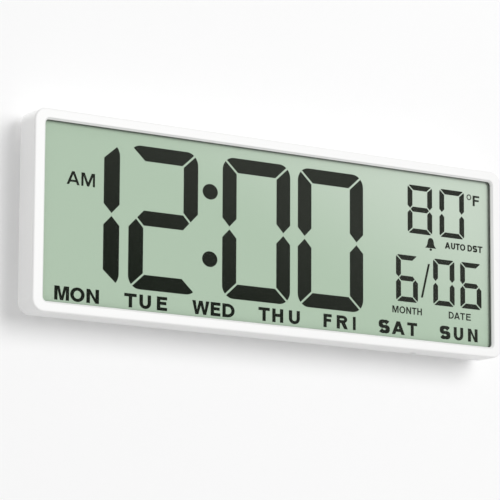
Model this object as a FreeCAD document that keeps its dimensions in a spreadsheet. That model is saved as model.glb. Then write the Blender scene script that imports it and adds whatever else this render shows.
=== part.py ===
import FreeCAD, Part
import Sketcher
import math
import os
import re

# Wide wall and table clock with a large digit display, in millimetres.
# X runs to the right as seen from the front, Y from the front to the back and Z up.
# The origin is on the table, under the middle of the case.

SIZES = {
    # case
    "case_width": 364.0,
    "case_height": 127.0,
    "frame_depth": 18.0,
    "frame_wall": 2.0,
    "case_corner": 8.0,
    "front_round": 1.2,
    "bezel_rim": 7.0,
    "bezel_side": 8.0,
    "lip_thickness": 2.2,
    "lip_chamfer": 1.2,
    "window_corner": 2.5,
    "back_round": 0.5,
    # rear cover
    "cover_wall": 2.0,
    "cover_step": 8.0,
    "cover_corner": 6.0,
    "cover_round": 1.5,
    "fit_gap": 0.3,
    # display stack, front to back
    "gasket_thickness": 0.4,
    "gasket_reveal": 0.25,
    "gasket_corner": 1.7,
    "lens_thickness": 0.5,
    "film_thickness": 0.2,
    "glass_thickness": 0.7,
    "segment_thickness": 0.1,
    "display_overlap": 3.2,
    "contact_ledge": 2.6,
    "holder_plate": 2.9,
    "snap_height": 0.8,
    "snap_width": 12.0,
    "snap_length": 1.2,
    "snap_spread": 90.0,
    # main board
    "board_inset": 32.0,
    "board_gap": 2.6,
    "board_thickness": 1.6,
    "board_standoff": 1.0,
    "board_low": 3.2,
    "strip_width": 1.8,
    "strip_inset": 5.0,
    # screws
    "screw_radius": 1.2,
    "screw_head_radius": 2.3,
    "screw_head": 1.6,
    "screw_slot": 0.6,
    "cross_share": 0.6,
    "cross_start": 0.4,
    "screw_tip_gap": 0.1,
    "screw_length": 10.0,
    "post_radius": 4.0,
    "boss_radius": 3.0,
    "boss_end": 19.8,
    "screw_inset": 20.0,
    "screw_margin": 19.5,
    "middle_screw_spread": 120.0,
    "counterbore_depth": 5.0,
    "board_screw_length": 1.8,
    "board_screw_inset": 15.0,
    "board_screw_margin": 10.0,
    # battery well
    "cell_radius": 7.1,
    "cell_length": 49.2,
    "cell_nub_radius": 2.6,
    "cell_nub": 1.0,
    "cell_gap": 0.5,
    "cell_count": 4.0,
    "spring_length": 5.0,
    "spring_big": 4.0,
    "spring_small": 2.5,
    "contact_thickness": 0.4,
    "contact_width": 9.0,
    "well_wall": 2.2,
    "well_floor": 1.4,
    "well_ledge": 1.0,
    "well_air": 1.5,
    "well_drop": 14.8,
    "door_gap": 0.1,
    "door_tab_width": 5.6,
    "door_tab_reach": 2.0,
    "door_tab_thickness": 1.5,
    "door_tab_gap": 0.3,
    "door_web": 1.4,
    "door_web_inset": 0.3,
    "door_tab_inset": 1.0,
    "tab_swing_room": 1.6,
    "door_groove_length": 18.0,
    "door_groove_width": 0.8,
    "door_groove_pitch": 2.0,
    "door_groove_count": 5.0,
    "door_groove_inset": 5.0,
    "door_groove_depth": 0.5,
    "grip_radius": 9.0,
    # push buttons
    "button_radius": 4.2,
    "button_flange": 5.6,
    "button_flange_thickness": 1.2,
    "button_stem": 2.0,
    "button_recess": 0.4,
    "button_travel": 0.8,
    "button_spacing": 24.0,
    "button_drop": 3.9,
    "button_slack": 0.2,
    "button_round": 0.5,
    "button_dish": 0.2,
    "plunger_foot": 1.4,
    "switch_side": 6.0,
    "switch_body": 3.6,
    "plunger_radius": 1.7,
    "plunger_rise": 2.0,
    "plunger_gap": 0.1,
    # fold-out stand legs
    "leg_width": 20.0,
    "leg_length": 54.0,
    "leg_thickness": 3.2,
    "leg_inset": 57.0,
    "leg_hinge_height": 16.0,
    "leg_margin": 0.2,
    "leg_floor_gap": 0.4,
    "pocket_wall": 1.6,
    "pocket_below": 3.2,
    "pocket_above": 0.6,
    "pocket_grip": 7.0,
    "pocket_grip_depth": 1.2,
    "leg_tip_round": 1.4,
    "pin_radius": 1.0,
    "pin_gap": 0.05,
    "pin_hold_gap": 0.02,
    # keyholes
    "keyhole_radius": 4.5,
    "keyhole_slot": 4.4,
    "keyhole_rise": 9.0,
    "keyhole_spread": 220.0,
    "keyhole_drop": 31.0,
    # parts on the board
    "chip_radius": 7.0,
    "chip_height": 1.8,
    "chip_round": 1.5,
    "chip_place": 84.0,
    "crystal_radius": 1.0,
    "crystal_length": 6.0,
    "crystal_place": 100.0,
    "crystal_lift": 0.05,
    "crystal_rise": 8.0,
    "capacitor_radius": 2.5,
    "capacitor_length": 6.5,
    "capacitor_place": 98.0,
    "capacitor_pitch": 9.0,
    "capacitor_drop": 6.0,
    "capacitor_count": 3.0,
    "sounder_radius": 6.0,
    "sounder_length": 8.5,
    "sounder_place": -84.0,
    "sound_hole_radius": 0.9,
    "sound_hole_pitch": 3.4,
    "sensor_place": 117.0,
    "sensor_radius": 1.5,
    "sensor_reach": 3.1,
    "sensor_rise": 3.5,
    "sensor_lead_radius": 0.3,
    "sensor_lead_spread": 1.2,
    "vent_length": 4.5,
    "vent_width": 2.4,
    "vent_depth": 13.6,
    # display figures, drawn for this window and stretched to the one there is
    "artwork_width": 350.0,
    "artwork_height": 113.0,
    "big_digit_width": 52.0,
    "big_digit_height": 91.0,
    "big_stroke": 10.2,
    "big_digit_low": -42.6,
    "small_digit_width": 20.9,
    "small_digit_height": 32.5,
    "date_digit_width": 18.1,
    "date_digit_height": 31.2,
    "small_stroke": 3.4,
    "segment_gap": 1.3,
    "segment_nick": 0.6,
    "small_gap": 0.9,
    "colon_radius": 5.3,
    "one_right": -121.0,
    "two_left": -114.5,
    "zero_left": -44.0,
    "zero_pitch": 58.6,
    "colon_place": -53.6,
    "colon_low": -18.6,
    "colon_high": 24.9,
    "temperature_left": 103.2,
    "temperature_pitch": 26.8,
    "temperature_low": 15.2,
    "month_left": 94.4,
    "date_left": 125.4,
    "date_pitch": 23.0,
    "date_low": -31.5,
    "slash_width": 1.1,
    "slash_left": 116.1,
    "slash_lean": 5.4,
    "slash_low": -27.5,
    "slash_height": 23.1,
    # how far a cut runs past the face it opens, and a raised piece is rooted in its base
    "cut_past": 1.0,
    "root_depth": 0.2,
}

# The case is as deep as what lies behind one another in it, from the lip to the back wall
LAYERS = ("lip_thickness", "gasket_thickness", "lens_thickness", "film_thickness",
          "glass_thickness", "segment_thickness", "glass_thickness", "film_thickness",
          "holder_plate", "well_air", "well_floor", "cell_gap", "cell_radius",
          "cell_radius", "cell_gap", "cover_wall")
SIZES["case_depth"] = round(sum(SIZES[layer] for layer in LAYERS), 6)

# Lengths below these are taken as nothing, and as too short for a corner or a rim
NOTHING = 0.01
SHORT = 0.2

doc = FreeCAD.newDocument("DayClock")
sheet = doc.addObject("Spreadsheet::Sheet", "Sizes")
for row, (alias, number) in enumerate(SIZES.items(), 1):
    sheet.set("A%d" % row, alias)
    sheet.set("B%d" % row, str(number))
    sheet.setAlias("B%d" % row, alias)
doc.recompute()

nodes = []


def size(alias):
    """The number in the sheet under this alias."""
    return float(sheet.get(alias))


def bound(text):
    """An expression in aliases, written for the expression engine."""
    return re.sub(r"[a-z][a-z_]+", lambda word: "Sizes." + word.group(0), text)


def bind(item, prop, text):
    item.setExpression(prop, bound(text))


def keep(item, label):
    """Makes an object a sub-part of its own, under this label."""
    item.Label = label
    nodes.append(item)
    return item


# Depths are counted from the front face and turned into Y with this
FRONT = "- case_depth / 2"
MIDDLE = "case_height / 2"

# Depths of the layers behind the bezel
LENS_FRONT = "lip_thickness + gasket_thickness"
FILM_FRONT = LENS_FRONT + " + lens_thickness"
GLASS_FRONT = FILM_FRONT + " + film_thickness"
SEGMENT_FRONT = GLASS_FRONT + " + glass_thickness"
REAR_GLASS_FRONT = SEGMENT_FRONT + " + segment_thickness"
REFLECTOR_FRONT = REAR_GLASS_FRONT + " + glass_thickness"
PLATE_FRONT = REFLECTOR_FRONT + " + film_thickness"
PLATE_BACK = PLATE_FRONT + " + holder_plate"
BOARD_FRONT = PLATE_BACK + " + board_standoff"
BOARD_BACK = BOARD_FRONT + " + board_thickness"

# Widths and heights that several pieces share
WINDOW_WIDTH = "(case_width - 2 * bezel_side)"
WINDOW_HEIGHT = "(case_height - 2 * bezel_rim)"
GLASS_WIDTH = "(" + WINDOW_WIDTH + " + 2 * display_overlap)"
GLASS_HEIGHT = "(" + WINDOW_HEIGHT + " + 2 * display_overlap)"
CAVITY_WIDTH = "(case_width - 2 * frame_wall)"
CAVITY_HEIGHT = "(case_height - 2 * frame_wall)"
WELL_WIDTH = "(cell_count * 2 * cell_radius + (cell_count + 1) * cell_gap)"
WELL_LENGTH = "(cell_length + cell_nub + spring_length + 2 * contact_thickness)"
WELL_BACK = "(case_depth - cover_wall)"
CELL_DEPTH = "(case_depth - cover_wall - cell_radius - cell_gap)"
WELL_FRONT = "(case_depth - cover_wall - 2 * cell_radius - 2 * cell_gap)"
TAB_PLACE = "(2 * cell_radius + cell_gap)"
DOOR_WIDTH = "(" + WELL_WIDTH + " + 2 * well_ledge)"
DOOR_LENGTH = "(" + WELL_LENGTH + " + 2 * well_ledge)"

# Heights of the well, the board under it and the buttons
WELL_HIGH = "(case_height - well_drop)"
WELL_MIDDLE = "(" + WELL_HIGH + " - well_wall - " + WELL_LENGTH + " / 2)"
WELL_LOW = "(" + WELL_MIDDLE + " - " + WELL_LENGTH + " / 2 - well_wall)"
BOARD_WIDTH = "(case_width - 2 * board_inset)"
BOARD_HEIGHT = "(" + WELL_LOW + " - board_gap - board_low)"
BOARD_MIDDLE = "(board_low + " + BOARD_HEIGHT + " / 2)"
STRIP_LENGTH = "(" + BOARD_WIDTH + " - 2 * strip_inset)"
BUTTON_HEIGHT = "((cover_step + cover_wall + " + WELL_LOW + ") / 2 - button_drop)"
KEYHOLE_HEIGHT = "(case_height - keyhole_drop)"
LEG_PLACE = "(case_width / 2 - leg_inset)"


def plane_of(body, role):
    """The origin plane of a body with this role."""
    for item in body.Origin.OriginFeatures:
        if item.Role == role:
            return item
    raise RuntimeError("no plane " + role)


def new_body(name):
    return doc.addObject("PartDesign::Body", name)


def front_sketch(body, name, depth):
    """A sketch that faces the front, at a depth behind the front face: x is X and y is Z."""
    sketch = body.newObject("Sketcher::SketchObject", name)
    sketch.AttachmentSupport = [(plane_of(body, "XZ_Plane"), "")]
    sketch.MapMode = "FlatFace"
    bind(sketch, "AttachmentOffset.Base.z", "case_depth / 2 - (" + depth + ")")
    return sketch


def add_rectangle(sketch, width, height, x="0", z="0"):
    """A rectangle centred on x, z."""
    first = sketch.GeometryCount
    corners = [(-5, -5), (5, -5), (5, 5), (-5, 5)]
    for here, there in zip(corners, corners[1:] + corners[:1]):
        start = FreeCAD.Vector(here[0], here[1], 0)
        end = FreeCAD.Vector(there[0], there[1], 0)
        sketch.addGeometry(Part.LineSegment(start, end))
    rule = Sketcher.Constraint
    for side in range(4):
        sketch.addConstraint(rule("Coincident", first + side, 2, first + (side + 1) % 4, 1))
    sketch.addConstraint(rule("Horizontal", first))
    sketch.addConstraint(rule("Vertical", first + 1))
    sketch.addConstraint(rule("Horizontal", first + 2))
    sketch.addConstraint(rule("Vertical", first + 3))
    wide = sketch.addConstraint(rule("DistanceX", first, 1, first, 2, 10))
    tall = sketch.addConstraint(rule("DistanceY", first + 1, 1, first + 1, 2, 10))
    left = sketch.addConstraint(rule("DistanceX", -1, 1, first, 1, -5))
    low = sketch.addConstraint(rule("DistanceY", -1, 1, first, 1, -5))
    bind(sketch, "Constraints[%d]" % wide, width)
    bind(sketch, "Constraints[%d]" % tall, height)
    bind(sketch, "Constraints[%d]" % left, "(" + x + ") - (" + width + ") / 2")
    bind(sketch, "Constraints[%d]" % low, "(" + z + ") - (" + height + ") / 2")


def add_circle(sketch, radius, x="0", z="0"):
    """A circle centred on x, z."""
    rule = Sketcher.Constraint
    circle = Part.Circle(FreeCAD.Vector(3, 3, 0), FreeCAD.Vector(0, 0, 1), 2)
    curve = sketch.addGeometry(circle)
    round_rule = sketch.addConstraint(rule("Radius", curve, 2))
    across = sketch.addConstraint(rule("DistanceX", -1, 1, curve, 3, 3))
    up = sketch.addConstraint(rule("DistanceY", -1, 1, curve, 3, 3))
    bind(sketch, "Constraints[%d]" % round_rule, radius)
    bind(sketch, "Constraints[%d]" % across, x)
    bind(sketch, "Constraints[%d]" % up, z)


def pad_back(body, name, sketch, length):
    """Material from the sketch towards the back."""
    pad = body.newObject("PartDesign::Pad", name)
    pad.Profile = sketch
    pad.Reversed = True
    bind(pad, "Length", length)
    doc.recompute()
    return pad


def cut(body, name, sketch, length, towards_back=True):
    """A pocket from the sketch, whose loss of volume is checked."""
    before = body.Shape.Volume
    pocket = body.newObject("PartDesign::Pocket", name)
    pocket.Profile = sketch
    pocket.Reversed = not towards_back
    bind(pocket, "Length", length)
    doc.recompute()
    if body.Shape.Volume >= before:
        raise RuntimeError("nothing cut by " + name)
    return pocket


def round_edges(body, name, wanted, radius, kind="Fillet", prop="Radius"):
    """A fillet or chamfer on every edge that the test wanted(edge) picks."""
    base = body.Tip
    names = []
    for number, edge in enumerate(base.Shape.Edges, 1):
        if wanted(edge):
            names.append("Edge%d" % number)
    feature = body.newObject("PartDesign::" + kind, name)
    feature.Base = (base, names)
    bind(feature, prop, radius)
    doc.recompute()
    return feature


def corner_test(half_width, half_height, middle):
    """Picks straight edges along Y at the four corners of a rectangle."""
    def wanted(edge):
        box = edge.BoundBox
        along = box.YLength > SHORT and max(box.XLength, box.ZLength) < NOTHING
        at_side = abs(abs(box.XMin) - half_width) < NOTHING
        at_end = abs(abs(box.ZMin - middle) - half_height) < NOTHING
        return along and at_side and at_end
    return wanted


def block(name, lengths, corner):
    """A box from three lengths and the place of its lowest corner."""
    item = doc.addObject("Part::Box", name)
    for prop, text in zip(("Length", "Width", "Height"), lengths):
        bind(item, prop, text)
    for axis, text in zip("xyz", corner):
        bind(item, "Placement.Base." + axis, text)
    return item


TO_BACK = FreeCAD.Rotation(FreeCAD.Vector(1, 0, 0), -90)
TO_SIDE = FreeCAD.Rotation(FreeCAD.Vector(0, 1, 0), 90)
UPRIGHT = FreeCAD.Rotation()


def rod(name, radius, length, start, turn):
    """A cylinder from its start along the direction that turn gives to Z."""
    item = doc.addObject("Part::Cylinder", name)
    item.Placement = FreeCAD.Placement(FreeCAD.Vector(), turn)
    bind(item, "Radius", radius)
    bind(item, "Height", length)
    for axis, text in zip("xyz", start):
        bind(item, "Placement.Base." + axis, text)
    return item


def joined(name, first, second):
    item = doc.addObject("Part::Fuse", name)
    item.Base = first
    item.Tool = second
    return item


def less(name, first, second):
    item = doc.addObject("Part::Cut", name)
    item.Base = first
    item.Tool = second
    return item


def group(name, items):
    """Separate solids that share one node."""
    item = doc.addObject("Part::Compound", name)
    item.Links = items
    return item


def ring(label, outer, inner, depth, length, outer_corner, inner_corner):
    """A flat frame with rounded outer and inner corners, facing the front."""
    body = new_body(label + "_body")
    sketch = front_sketch(body, label + "_outline", depth)
    add_rectangle(sketch, outer[0], outer[1], "0", MIDDLE)
    add_rectangle(sketch, inner[0], inner[1], "0", MIDDLE)
    pad_back(body, label + "_pad", sketch, length)
    middle = size("case_height") / 2
    box = body.Shape.BoundBox
    round_edges(body, label + "_outer_round",
                corner_test(box.XMax, box.ZMax - middle, middle), outer_corner)
    inside = [edge.BoundBox for edge in body.Shape.Edges if edge.BoundBox.YLength > SHORT]
    half_width = min(abs(item.XMin) for item in inside)
    half_height = min(abs(item.ZMin - middle) for item in inside)
    round_edges(body, label + "_inner_round",
                corner_test(half_width, half_height, middle), inner_corner)
    return keep(body, label)


def front_frame():
    """The white front shell: side walls, bezel, lip round the window, snap ribs and vent."""
    body = new_body("front_frame_body")
    middle = size("case_height") / 2
    half_width = size("case_width") / 2
    half_height = size("case_height") / 2
    front = -size("case_depth") / 2
    outline = front_sketch(body, "frame_outline", "0")
    add_rectangle(outline, "case_width", "case_height", "0", MIDDLE)
    pad_back(body, "frame_block", outline, "frame_depth")
    cavity = front_sketch(body, "frame_cavity", "lip_thickness")
    add_rectangle(cavity, CAVITY_WIDTH, CAVITY_HEIGHT, "0", MIDDLE)
    cut(body, "frame_hollow", cavity, "frame_depth - lip_thickness + cut_past")
    wall = size("frame_wall")
    round_edges(body, "frame_inner_corners",
                corner_test(half_width - wall, half_height - wall, middle),
                "case_corner - frame_wall")
    round_edges(body, "frame_corners", corner_test(half_width, half_height, middle), "case_corner")
    window = front_sketch(body, "frame_window", "- cut_past")
    add_rectangle(window, WINDOW_WIDTH, WINDOW_HEIGHT, "0", MIDDLE)
    cut(body, "frame_opening", window, "lip_thickness + 2 * cut_past")
    opening = (half_width - size("bezel_side"), half_height - size("bezel_rim"), middle)
    round_edges(body, "window_corners", corner_test(*opening), "window_corner")
    round_edges(body, "front_rounding",
                outline_edges(front, half_width, half_height, middle), "front_round")
    round_edges(body, "lip_slope", outline_edges(front, *opening), "lip_chamfer",
                "Chamfer", "Size")
    back = front + size("frame_depth")
    round_edges(body, "back_rounding",
                outline_edges(back, half_width, half_height, middle), "back_round")
    ribs = front_sketch(body, "snap_ribs", PLATE_BACK + " + fit_gap / 2")
    reach = "(snap_height + frame_wall / 2)"
    for side in ("-1", "1"):
        centre = side + " * (case_height / 2 - frame_wall - snap_height + " + reach + " / 2)"
        for place in ("-snap_spread", "0", "snap_spread"):
            add_rectangle(ribs, "snap_width", reach, place, MIDDLE + " + " + centre)
        across = side + " * (case_width / 2 - frame_wall - snap_height + " + reach + " / 2)"
        add_rectangle(ribs, reach, "snap_width", across, MIDDLE)
    pad_back(body, "snap_pads", ribs, "snap_length")
    slot = body.newObject("Sketcher::SketchObject", "sensor_vent")
    slot.AttachmentSupport = [(plane_of(body, "XY_Plane"), "")]
    slot.MapMode = "FlatFace"
    bind(slot, "AttachmentOffset.Base.z", "frame_wall + cut_past")
    add_rectangle(slot, "vent_length", "vent_width", "sensor_place",
                  "vent_depth - case_depth / 2")
    cut(body, "sensor_opening", slot, "frame_wall + 2 * cut_past")
    return keep(body, "front_frame")


def outline_edges(y, half_width, half_height, middle):
    """Picks the edges at this Y that follow a rectangle with rounded corners."""
    corner = min(half_width, half_height) / 2

    def wanted(edge):
        box = edge.BoundBox
        if box.YLength > NOTHING or abs(box.YMin - y) > NOTHING:
            return False
        centre = edge.valueAt((edge.FirstParameter + edge.LastParameter) / 2)
        across = half_width - abs(centre.x)
        upright = half_height - abs(centre.z - middle)
        on_side = abs(min(across, upright)) < NOTHING
        on_arc = edge.Curve.TypeId == "Part::GeomCircle" and 0 < across < corner
        touches = abs(max(abs(box.XMax), abs(box.XMin)) - half_width) < NOTHING
        return on_side or (on_arc and upright < corner and touches)
    return wanted


def plate(label, width, height, depth, length, low="0"):
    """A flat rectangular sheet, facing the front."""
    item = block(label + "_sheet", (width, length, height),
                 ("- (" + width + ") / 2", "(" + depth + ") " + FRONT,
                  MIDDLE + " - (" + height + ") / 2 + (" + low + ") / 2"))
    return keep(item, label)


def display():
    """Gasket, clear window and the layers of the display, front to back."""
    reveal = " - 2 * gasket_reveal"
    ring("display_gasket", (GLASS_WIDTH, GLASS_HEIGHT),
         (WINDOW_WIDTH + reveal, WINDOW_HEIGHT + reveal),
         "lip_thickness", "gasket_thickness", "gasket_corner", "window_corner")
    plate("display_window", GLASS_WIDTH, GLASS_HEIGHT, LENS_FRONT, "lens_thickness")
    plate("lcd_front_polarizer", GLASS_WIDTH, GLASS_HEIGHT, FILM_FRONT, "film_thickness")
    plate("lcd_front_glass", GLASS_WIDTH, GLASS_HEIGHT, GLASS_FRONT, "glass_thickness")
    short = "(" + GLASS_HEIGHT + " - contact_ledge)"
    plate("lcd_rear_glass", GLASS_WIDTH, short, REAR_GLASS_FRONT, "glass_thickness",
          "contact_ledge")
    plate("lcd_reflector", GLASS_WIDTH, short, REFLECTOR_FRONT, "film_thickness",
          "contact_ledge")


SEGMENTS = {
    "0": "abcdef",
    "1": "bc",
    "2": "abged",
    "6": "acdefg",
    "8": "abcdefg",
}


def segment_outlines(width, height, stroke, gap, shown):
    """The outlines of a seven-segment figure's shown segments, as lists of points."""
    half = height / 2
    nick = stroke * size("segment_nick")
    slant = gap / math.sqrt(2)
    bar = [(stroke + slant, height - stroke), (nick + slant, height - nick + slant),
           (stroke, height), (width - stroke, height),
           (width - nick - slant, height - nick + slant),
           (width - stroke - slant, height - stroke)]
    post = [(0, height - stroke), (nick - slant, height - nick - slant),
            (stroke, height - stroke - slant), (stroke, half + stroke / 2 + slant),
            (stroke / 2, half + slant), (0, half + stroke / 2 + slant)]
    link = [(stroke / 2 + slant, half), (stroke + slant, half + stroke / 2),
            (width - stroke - slant, half + stroke / 2), (width - stroke / 2 - slant, half),
            (width - stroke - slant, half - stroke / 2), (stroke + slant, half - stroke / 2)]

    def flipped(points):
        return [(x, height - z) for x, z in points]

    def mirrored(points):
        return [(width - x, z) for x, z in points]

    outlines = {"a": bar, "d": flipped(bar), "g": link,
                "f": post, "b": mirrored(post), "e": flipped(post),
                "c": flipped(mirrored(post))}
    return [outlines[letter] for letter in shown]


def on_artwork(x, z, depth):
    """A point of the display's artwork, stretched to the window there is."""
    across = (size("case_width") - 2 * size("bezel_side")) / size("artwork_width")
    upright = (size("case_height") - 2 * size("bezel_rim")) / size("artwork_height")
    return FreeCAD.Vector(x * across, depth, size("case_height") / 2 + z * upright)


def thin_solid(points, left, low, depth):
    """A sliver of the segment layer over one outline."""
    corners = [on_artwork(left + x, low + z, depth) for x, z in points]
    face = Part.Face(Part.makePolygon(corners + corners[:1]))
    return face.extrude(FreeCAD.Vector(0, size("segment_thickness"), 0))


def lcd_segments(front_glass):
    """The dark segments that are switched on: 12:00, 80 degrees and the date 6/06."""
    depth = front_glass.Placement.Base.y + size("glass_thickness")
    solids = []
    big = (size("big_digit_width"), size("big_digit_height"), size("big_stroke"),
           size("segment_gap"))
    places = [("1", size("one_right") - big[0]), ("2", size("two_left")),
              ("0", size("zero_left")), ("0", size("zero_left") + size("zero_pitch"))]
    for figure, left in places:
        for points in segment_outlines(*big, SEGMENTS[figure]):
            solids.append(thin_solid(points, left, size("big_digit_low"), depth))
    small = (size("small_digit_width"), size("small_digit_height"), size("small_stroke"),
             size("small_gap"))
    warm = size("temperature_left")
    for figure, left in (("8", warm), ("0", warm + size("temperature_pitch"))):
        for points in segment_outlines(*small, SEGMENTS[figure]):
            solids.append(thin_solid(points, left, size("temperature_low"), depth))
    date = (size("date_digit_width"), size("date_digit_height"), size("small_stroke"),
            size("small_gap"))
    day = size("date_left")
    for figure, left in (("6", size("month_left")), ("0", day), ("6", day + size("date_pitch"))):
        for points in segment_outlines(*date, SEGMENTS[figure]):
            solids.append(thin_solid(points, left, size("date_low"), depth))
    wide = size("slash_width")
    lean = size("slash_lean")
    tall = size("slash_height")
    slash = [(0, 0), (wide, 0), (wide + lean, tall), (lean, tall)]
    solids.append(thin_solid(slash, size("slash_left"), size("slash_low"), depth))
    for rise in (size("colon_low"), size("colon_high")):
        centre = on_artwork(size("colon_place"), rise, depth)
        solids.append(Part.makeCylinder(size("colon_radius"), size("segment_thickness"),
                                        centre, FreeCAD.Vector(0, 1, 0)))
    item = doc.addObject("Part::Feature", "segment_layer")
    item.Shape = Part.makeCompound(solids)
    return keep(item, "lcd_segments")


def screw_places():
    """The six cover screws, as pairs of expressions for X and Z."""
    places = []
    for side in ("-1", "1"):
        for end in ("-1", "1"):
            places.append((side + " * (case_width / 2 - screw_inset)",
                           MIDDLE + " + " + end + " * (case_height / 2 - screw_margin)"))
        places.append((side + " * middle_screw_spread / 2", "case_height - screw_margin"))
    return places


def board_screw_places():
    """The four board screws, as pairs of expressions for X and Z."""
    across = "(" + BOARD_WIDTH + " / 2 - board_screw_inset)"
    upright = "(" + BOARD_HEIGHT + " / 2 - board_screw_margin)"
    return [(side + " * " + across, BOARD_MIDDLE + " + " + end + " * " + upright)
            for side in ("-1", "1") for end in ("-1", "1")]


def lcd_holder():
    """The inner chassis: a rim round the display, a plate behind it and screw bosses."""
    body = new_body("lcd_holder_body")
    middle = size("case_height") / 2
    rim = "(" + PLATE_BACK + " - (" + LENS_FRONT + "))"
    outline = front_sketch(body, "holder_outline", LENS_FRONT)
    wide = "(" + CAVITY_WIDTH + " - 2 * fit_gap)"
    tall = "(" + CAVITY_HEIGHT + " - 2 * fit_gap)"
    add_rectangle(outline, wide, tall, "0", MIDDLE)
    pad_back(body, "holder_block", outline, rim)
    box = body.Shape.BoundBox
    round_edges(body, "holder_corners", corner_test(box.XMax, box.ZMax - middle, middle),
                "case_corner - frame_wall")
    seat = front_sketch(body, "holder_seat", LENS_FRONT)
    add_rectangle(seat, GLASS_WIDTH + " + 2 * fit_gap", GLASS_HEIGHT + " + 2 * fit_gap",
                  "0", MIDDLE)
    cut(body, "holder_hollow", seat, "(" + PLATE_FRONT + ") - (" + LENS_FRONT + ")")
    strip = front_sketch(body, "strip_slot", "0")
    add_rectangle(strip, STRIP_LENGTH + " + 2 * fit_gap", "strip_width + fit_gap", "0",
                  MIDDLE + " - " + GLASS_HEIGHT + " / 2 + fit_gap + strip_width / 2")
    cut(body, "strip_opening", strip, PLATE_BACK + " + cut_past")
    posts = front_sketch(body, "holder_bosses", PLATE_BACK + " - root_depth")
    for x, z in screw_places():
        add_circle(posts, "boss_radius", x, z)
    pad_back(body, "holder_posts", posts, "boss_end - (" + PLATE_BACK + ") + root_depth")
    feet = front_sketch(body, "board_bosses", PLATE_BACK + " - root_depth")
    for x, z in board_screw_places():
        add_circle(feet, "boss_radius", x, z)
    pad_back(body, "board_posts", feet, "board_standoff + root_depth")
    holes = front_sketch(body, "boss_holes", "boss_end - screw_length")
    for x, z in screw_places():
        add_circle(holes, "screw_radius + pin_hold_gap", x, z)
    cut(body, "boss_pilot_holes", holes, "screw_length + cut_past")
    short_holes = front_sketch(body, "board_holes", BOARD_FRONT + " - board_screw_length")
    for x, z in board_screw_places():
        add_circle(short_holes, "screw_radius + pin_hold_gap", x, z)
    cut(body, "board_pilot_holes", short_holes, "board_screw_length + cut_past")
    return keep(body, "lcd_holder")


def rear_cover():
    """The white back shell: flange, raised pan, battery well, stand pockets and holes."""
    body = new_body("rear_cover_body")
    middle = size("case_height") / 2
    flange = front_sketch(body, "cover_flange", "frame_depth - cover_wall")
    add_rectangle(flange, CAVITY_WIDTH + " - 2 * fit_gap", CAVITY_HEIGHT + " - 2 * fit_gap",
                  "0", MIDDLE)
    pad_back(body, "cover_flange_pad", flange, "cover_wall")
    box = body.Shape.BoundBox
    round_edges(body, "flange_corners", corner_test(box.XMax, box.ZMax - middle, middle),
                "case_corner - frame_wall")
    pan = front_sketch(body, "cover_pan", "frame_depth - cover_wall / 2")
    add_rectangle(pan, "case_width - 2 * cover_step", "case_height - 2 * cover_step", "0", MIDDLE)
    pad_back(body, "cover_pan_pad", pan, "case_depth - frame_depth + cover_wall / 2")
    half_width = size("case_width") / 2 - size("cover_step")
    half_height = size("case_height") / 2 - size("cover_step")
    round_edges(body, "pan_corners", corner_test(half_width, half_height, middle), "cover_corner")
    hollow = front_sketch(body, "cover_hollow", "frame_depth - cover_wall")
    add_rectangle(hollow, "case_width - 2 * cover_step - 2 * cover_wall",
                  "case_height - 2 * cover_step - 2 * cover_wall", "0", MIDDLE)
    cut(body, "cover_hollow_cut", hollow, "case_depth - frame_depth")
    wall = size("cover_wall")
    round_edges(body, "pan_inner_corners",
                corner_test(half_width - wall, half_height - wall, middle),
                "cover_corner - cover_wall")
    back = size("case_depth") / 2
    round_edges(body, "pan_rounding", outline_edges(back, half_width, half_height, middle),
                "cover_round")
    add_well(body)
    add_leg_pockets(body)
    add_screw_posts(body)
    add_cover_holes(body)
    return keep(body, "rear_cover")


def add_well(body):
    """The battery well with the seat of its door, its tab notches and its finger grip."""
    outer = front_sketch(body, "well_block", WELL_FRONT + " - well_floor")
    add_rectangle(outer, WELL_WIDTH + " + 2 * well_wall", WELL_LENGTH + " + 2 * well_wall",
                  "0", WELL_MIDDLE)
    pad_back(body, "well_pad", outer,
             "2 * cell_radius + 2 * cell_gap + well_floor + cover_wall / 2")
    inner = front_sketch(body, "well_room", WELL_FRONT)
    add_rectangle(inner, WELL_WIDTH, WELL_LENGTH, "0", WELL_MIDDLE)
    cut(body, "well_cut", inner, "case_depth - " + WELL_FRONT + " + cut_past")
    seat = front_sketch(body, "door_seat", WELL_BACK)
    add_rectangle(seat, DOOR_WIDTH + " + 2 * fit_gap", DOOR_LENGTH + " + 2 * fit_gap",
                  "0", WELL_MIDDLE)
    cut(body, "door_seat_cut", seat, "cover_wall + cut_past")
    notch_depth = "(door_tab_gap + door_tab_thickness + tab_swing_room)"
    notch = front_sketch(body, "tab_notches", WELL_BACK + " - " + notch_depth)
    for side in ("-1", "1"):
        add_rectangle(notch, "door_tab_width + 2 * fit_gap", "well_wall + cut_past",
                      side + " * " + TAB_PLACE, WELL_LOW + " + well_wall / 2")
    cut(body, "tab_notch_cut", notch, notch_depth)
    grip = front_sketch(body, "door_grip", WELL_BACK + " + cover_wall / 2")
    add_circle(grip, "grip_radius", "0", WELL_MIDDLE + " + " + DOOR_LENGTH + " / 2")
    cut(body, "door_grip_cut", grip, "cover_wall")


POCKET_LOW = "(leg_hinge_height - pocket_below)"
POCKET_HIGH = "(leg_hinge_height + leg_length + pocket_above)"
POCKET_LENGTH = "(" + POCKET_HIGH + " - " + POCKET_LOW + ")"
POCKET_FLOOR = "(case_depth - leg_margin - leg_thickness - leg_floor_gap)"
HINGE_DEPTH = "(case_depth - leg_margin - leg_thickness / 2)"


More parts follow.
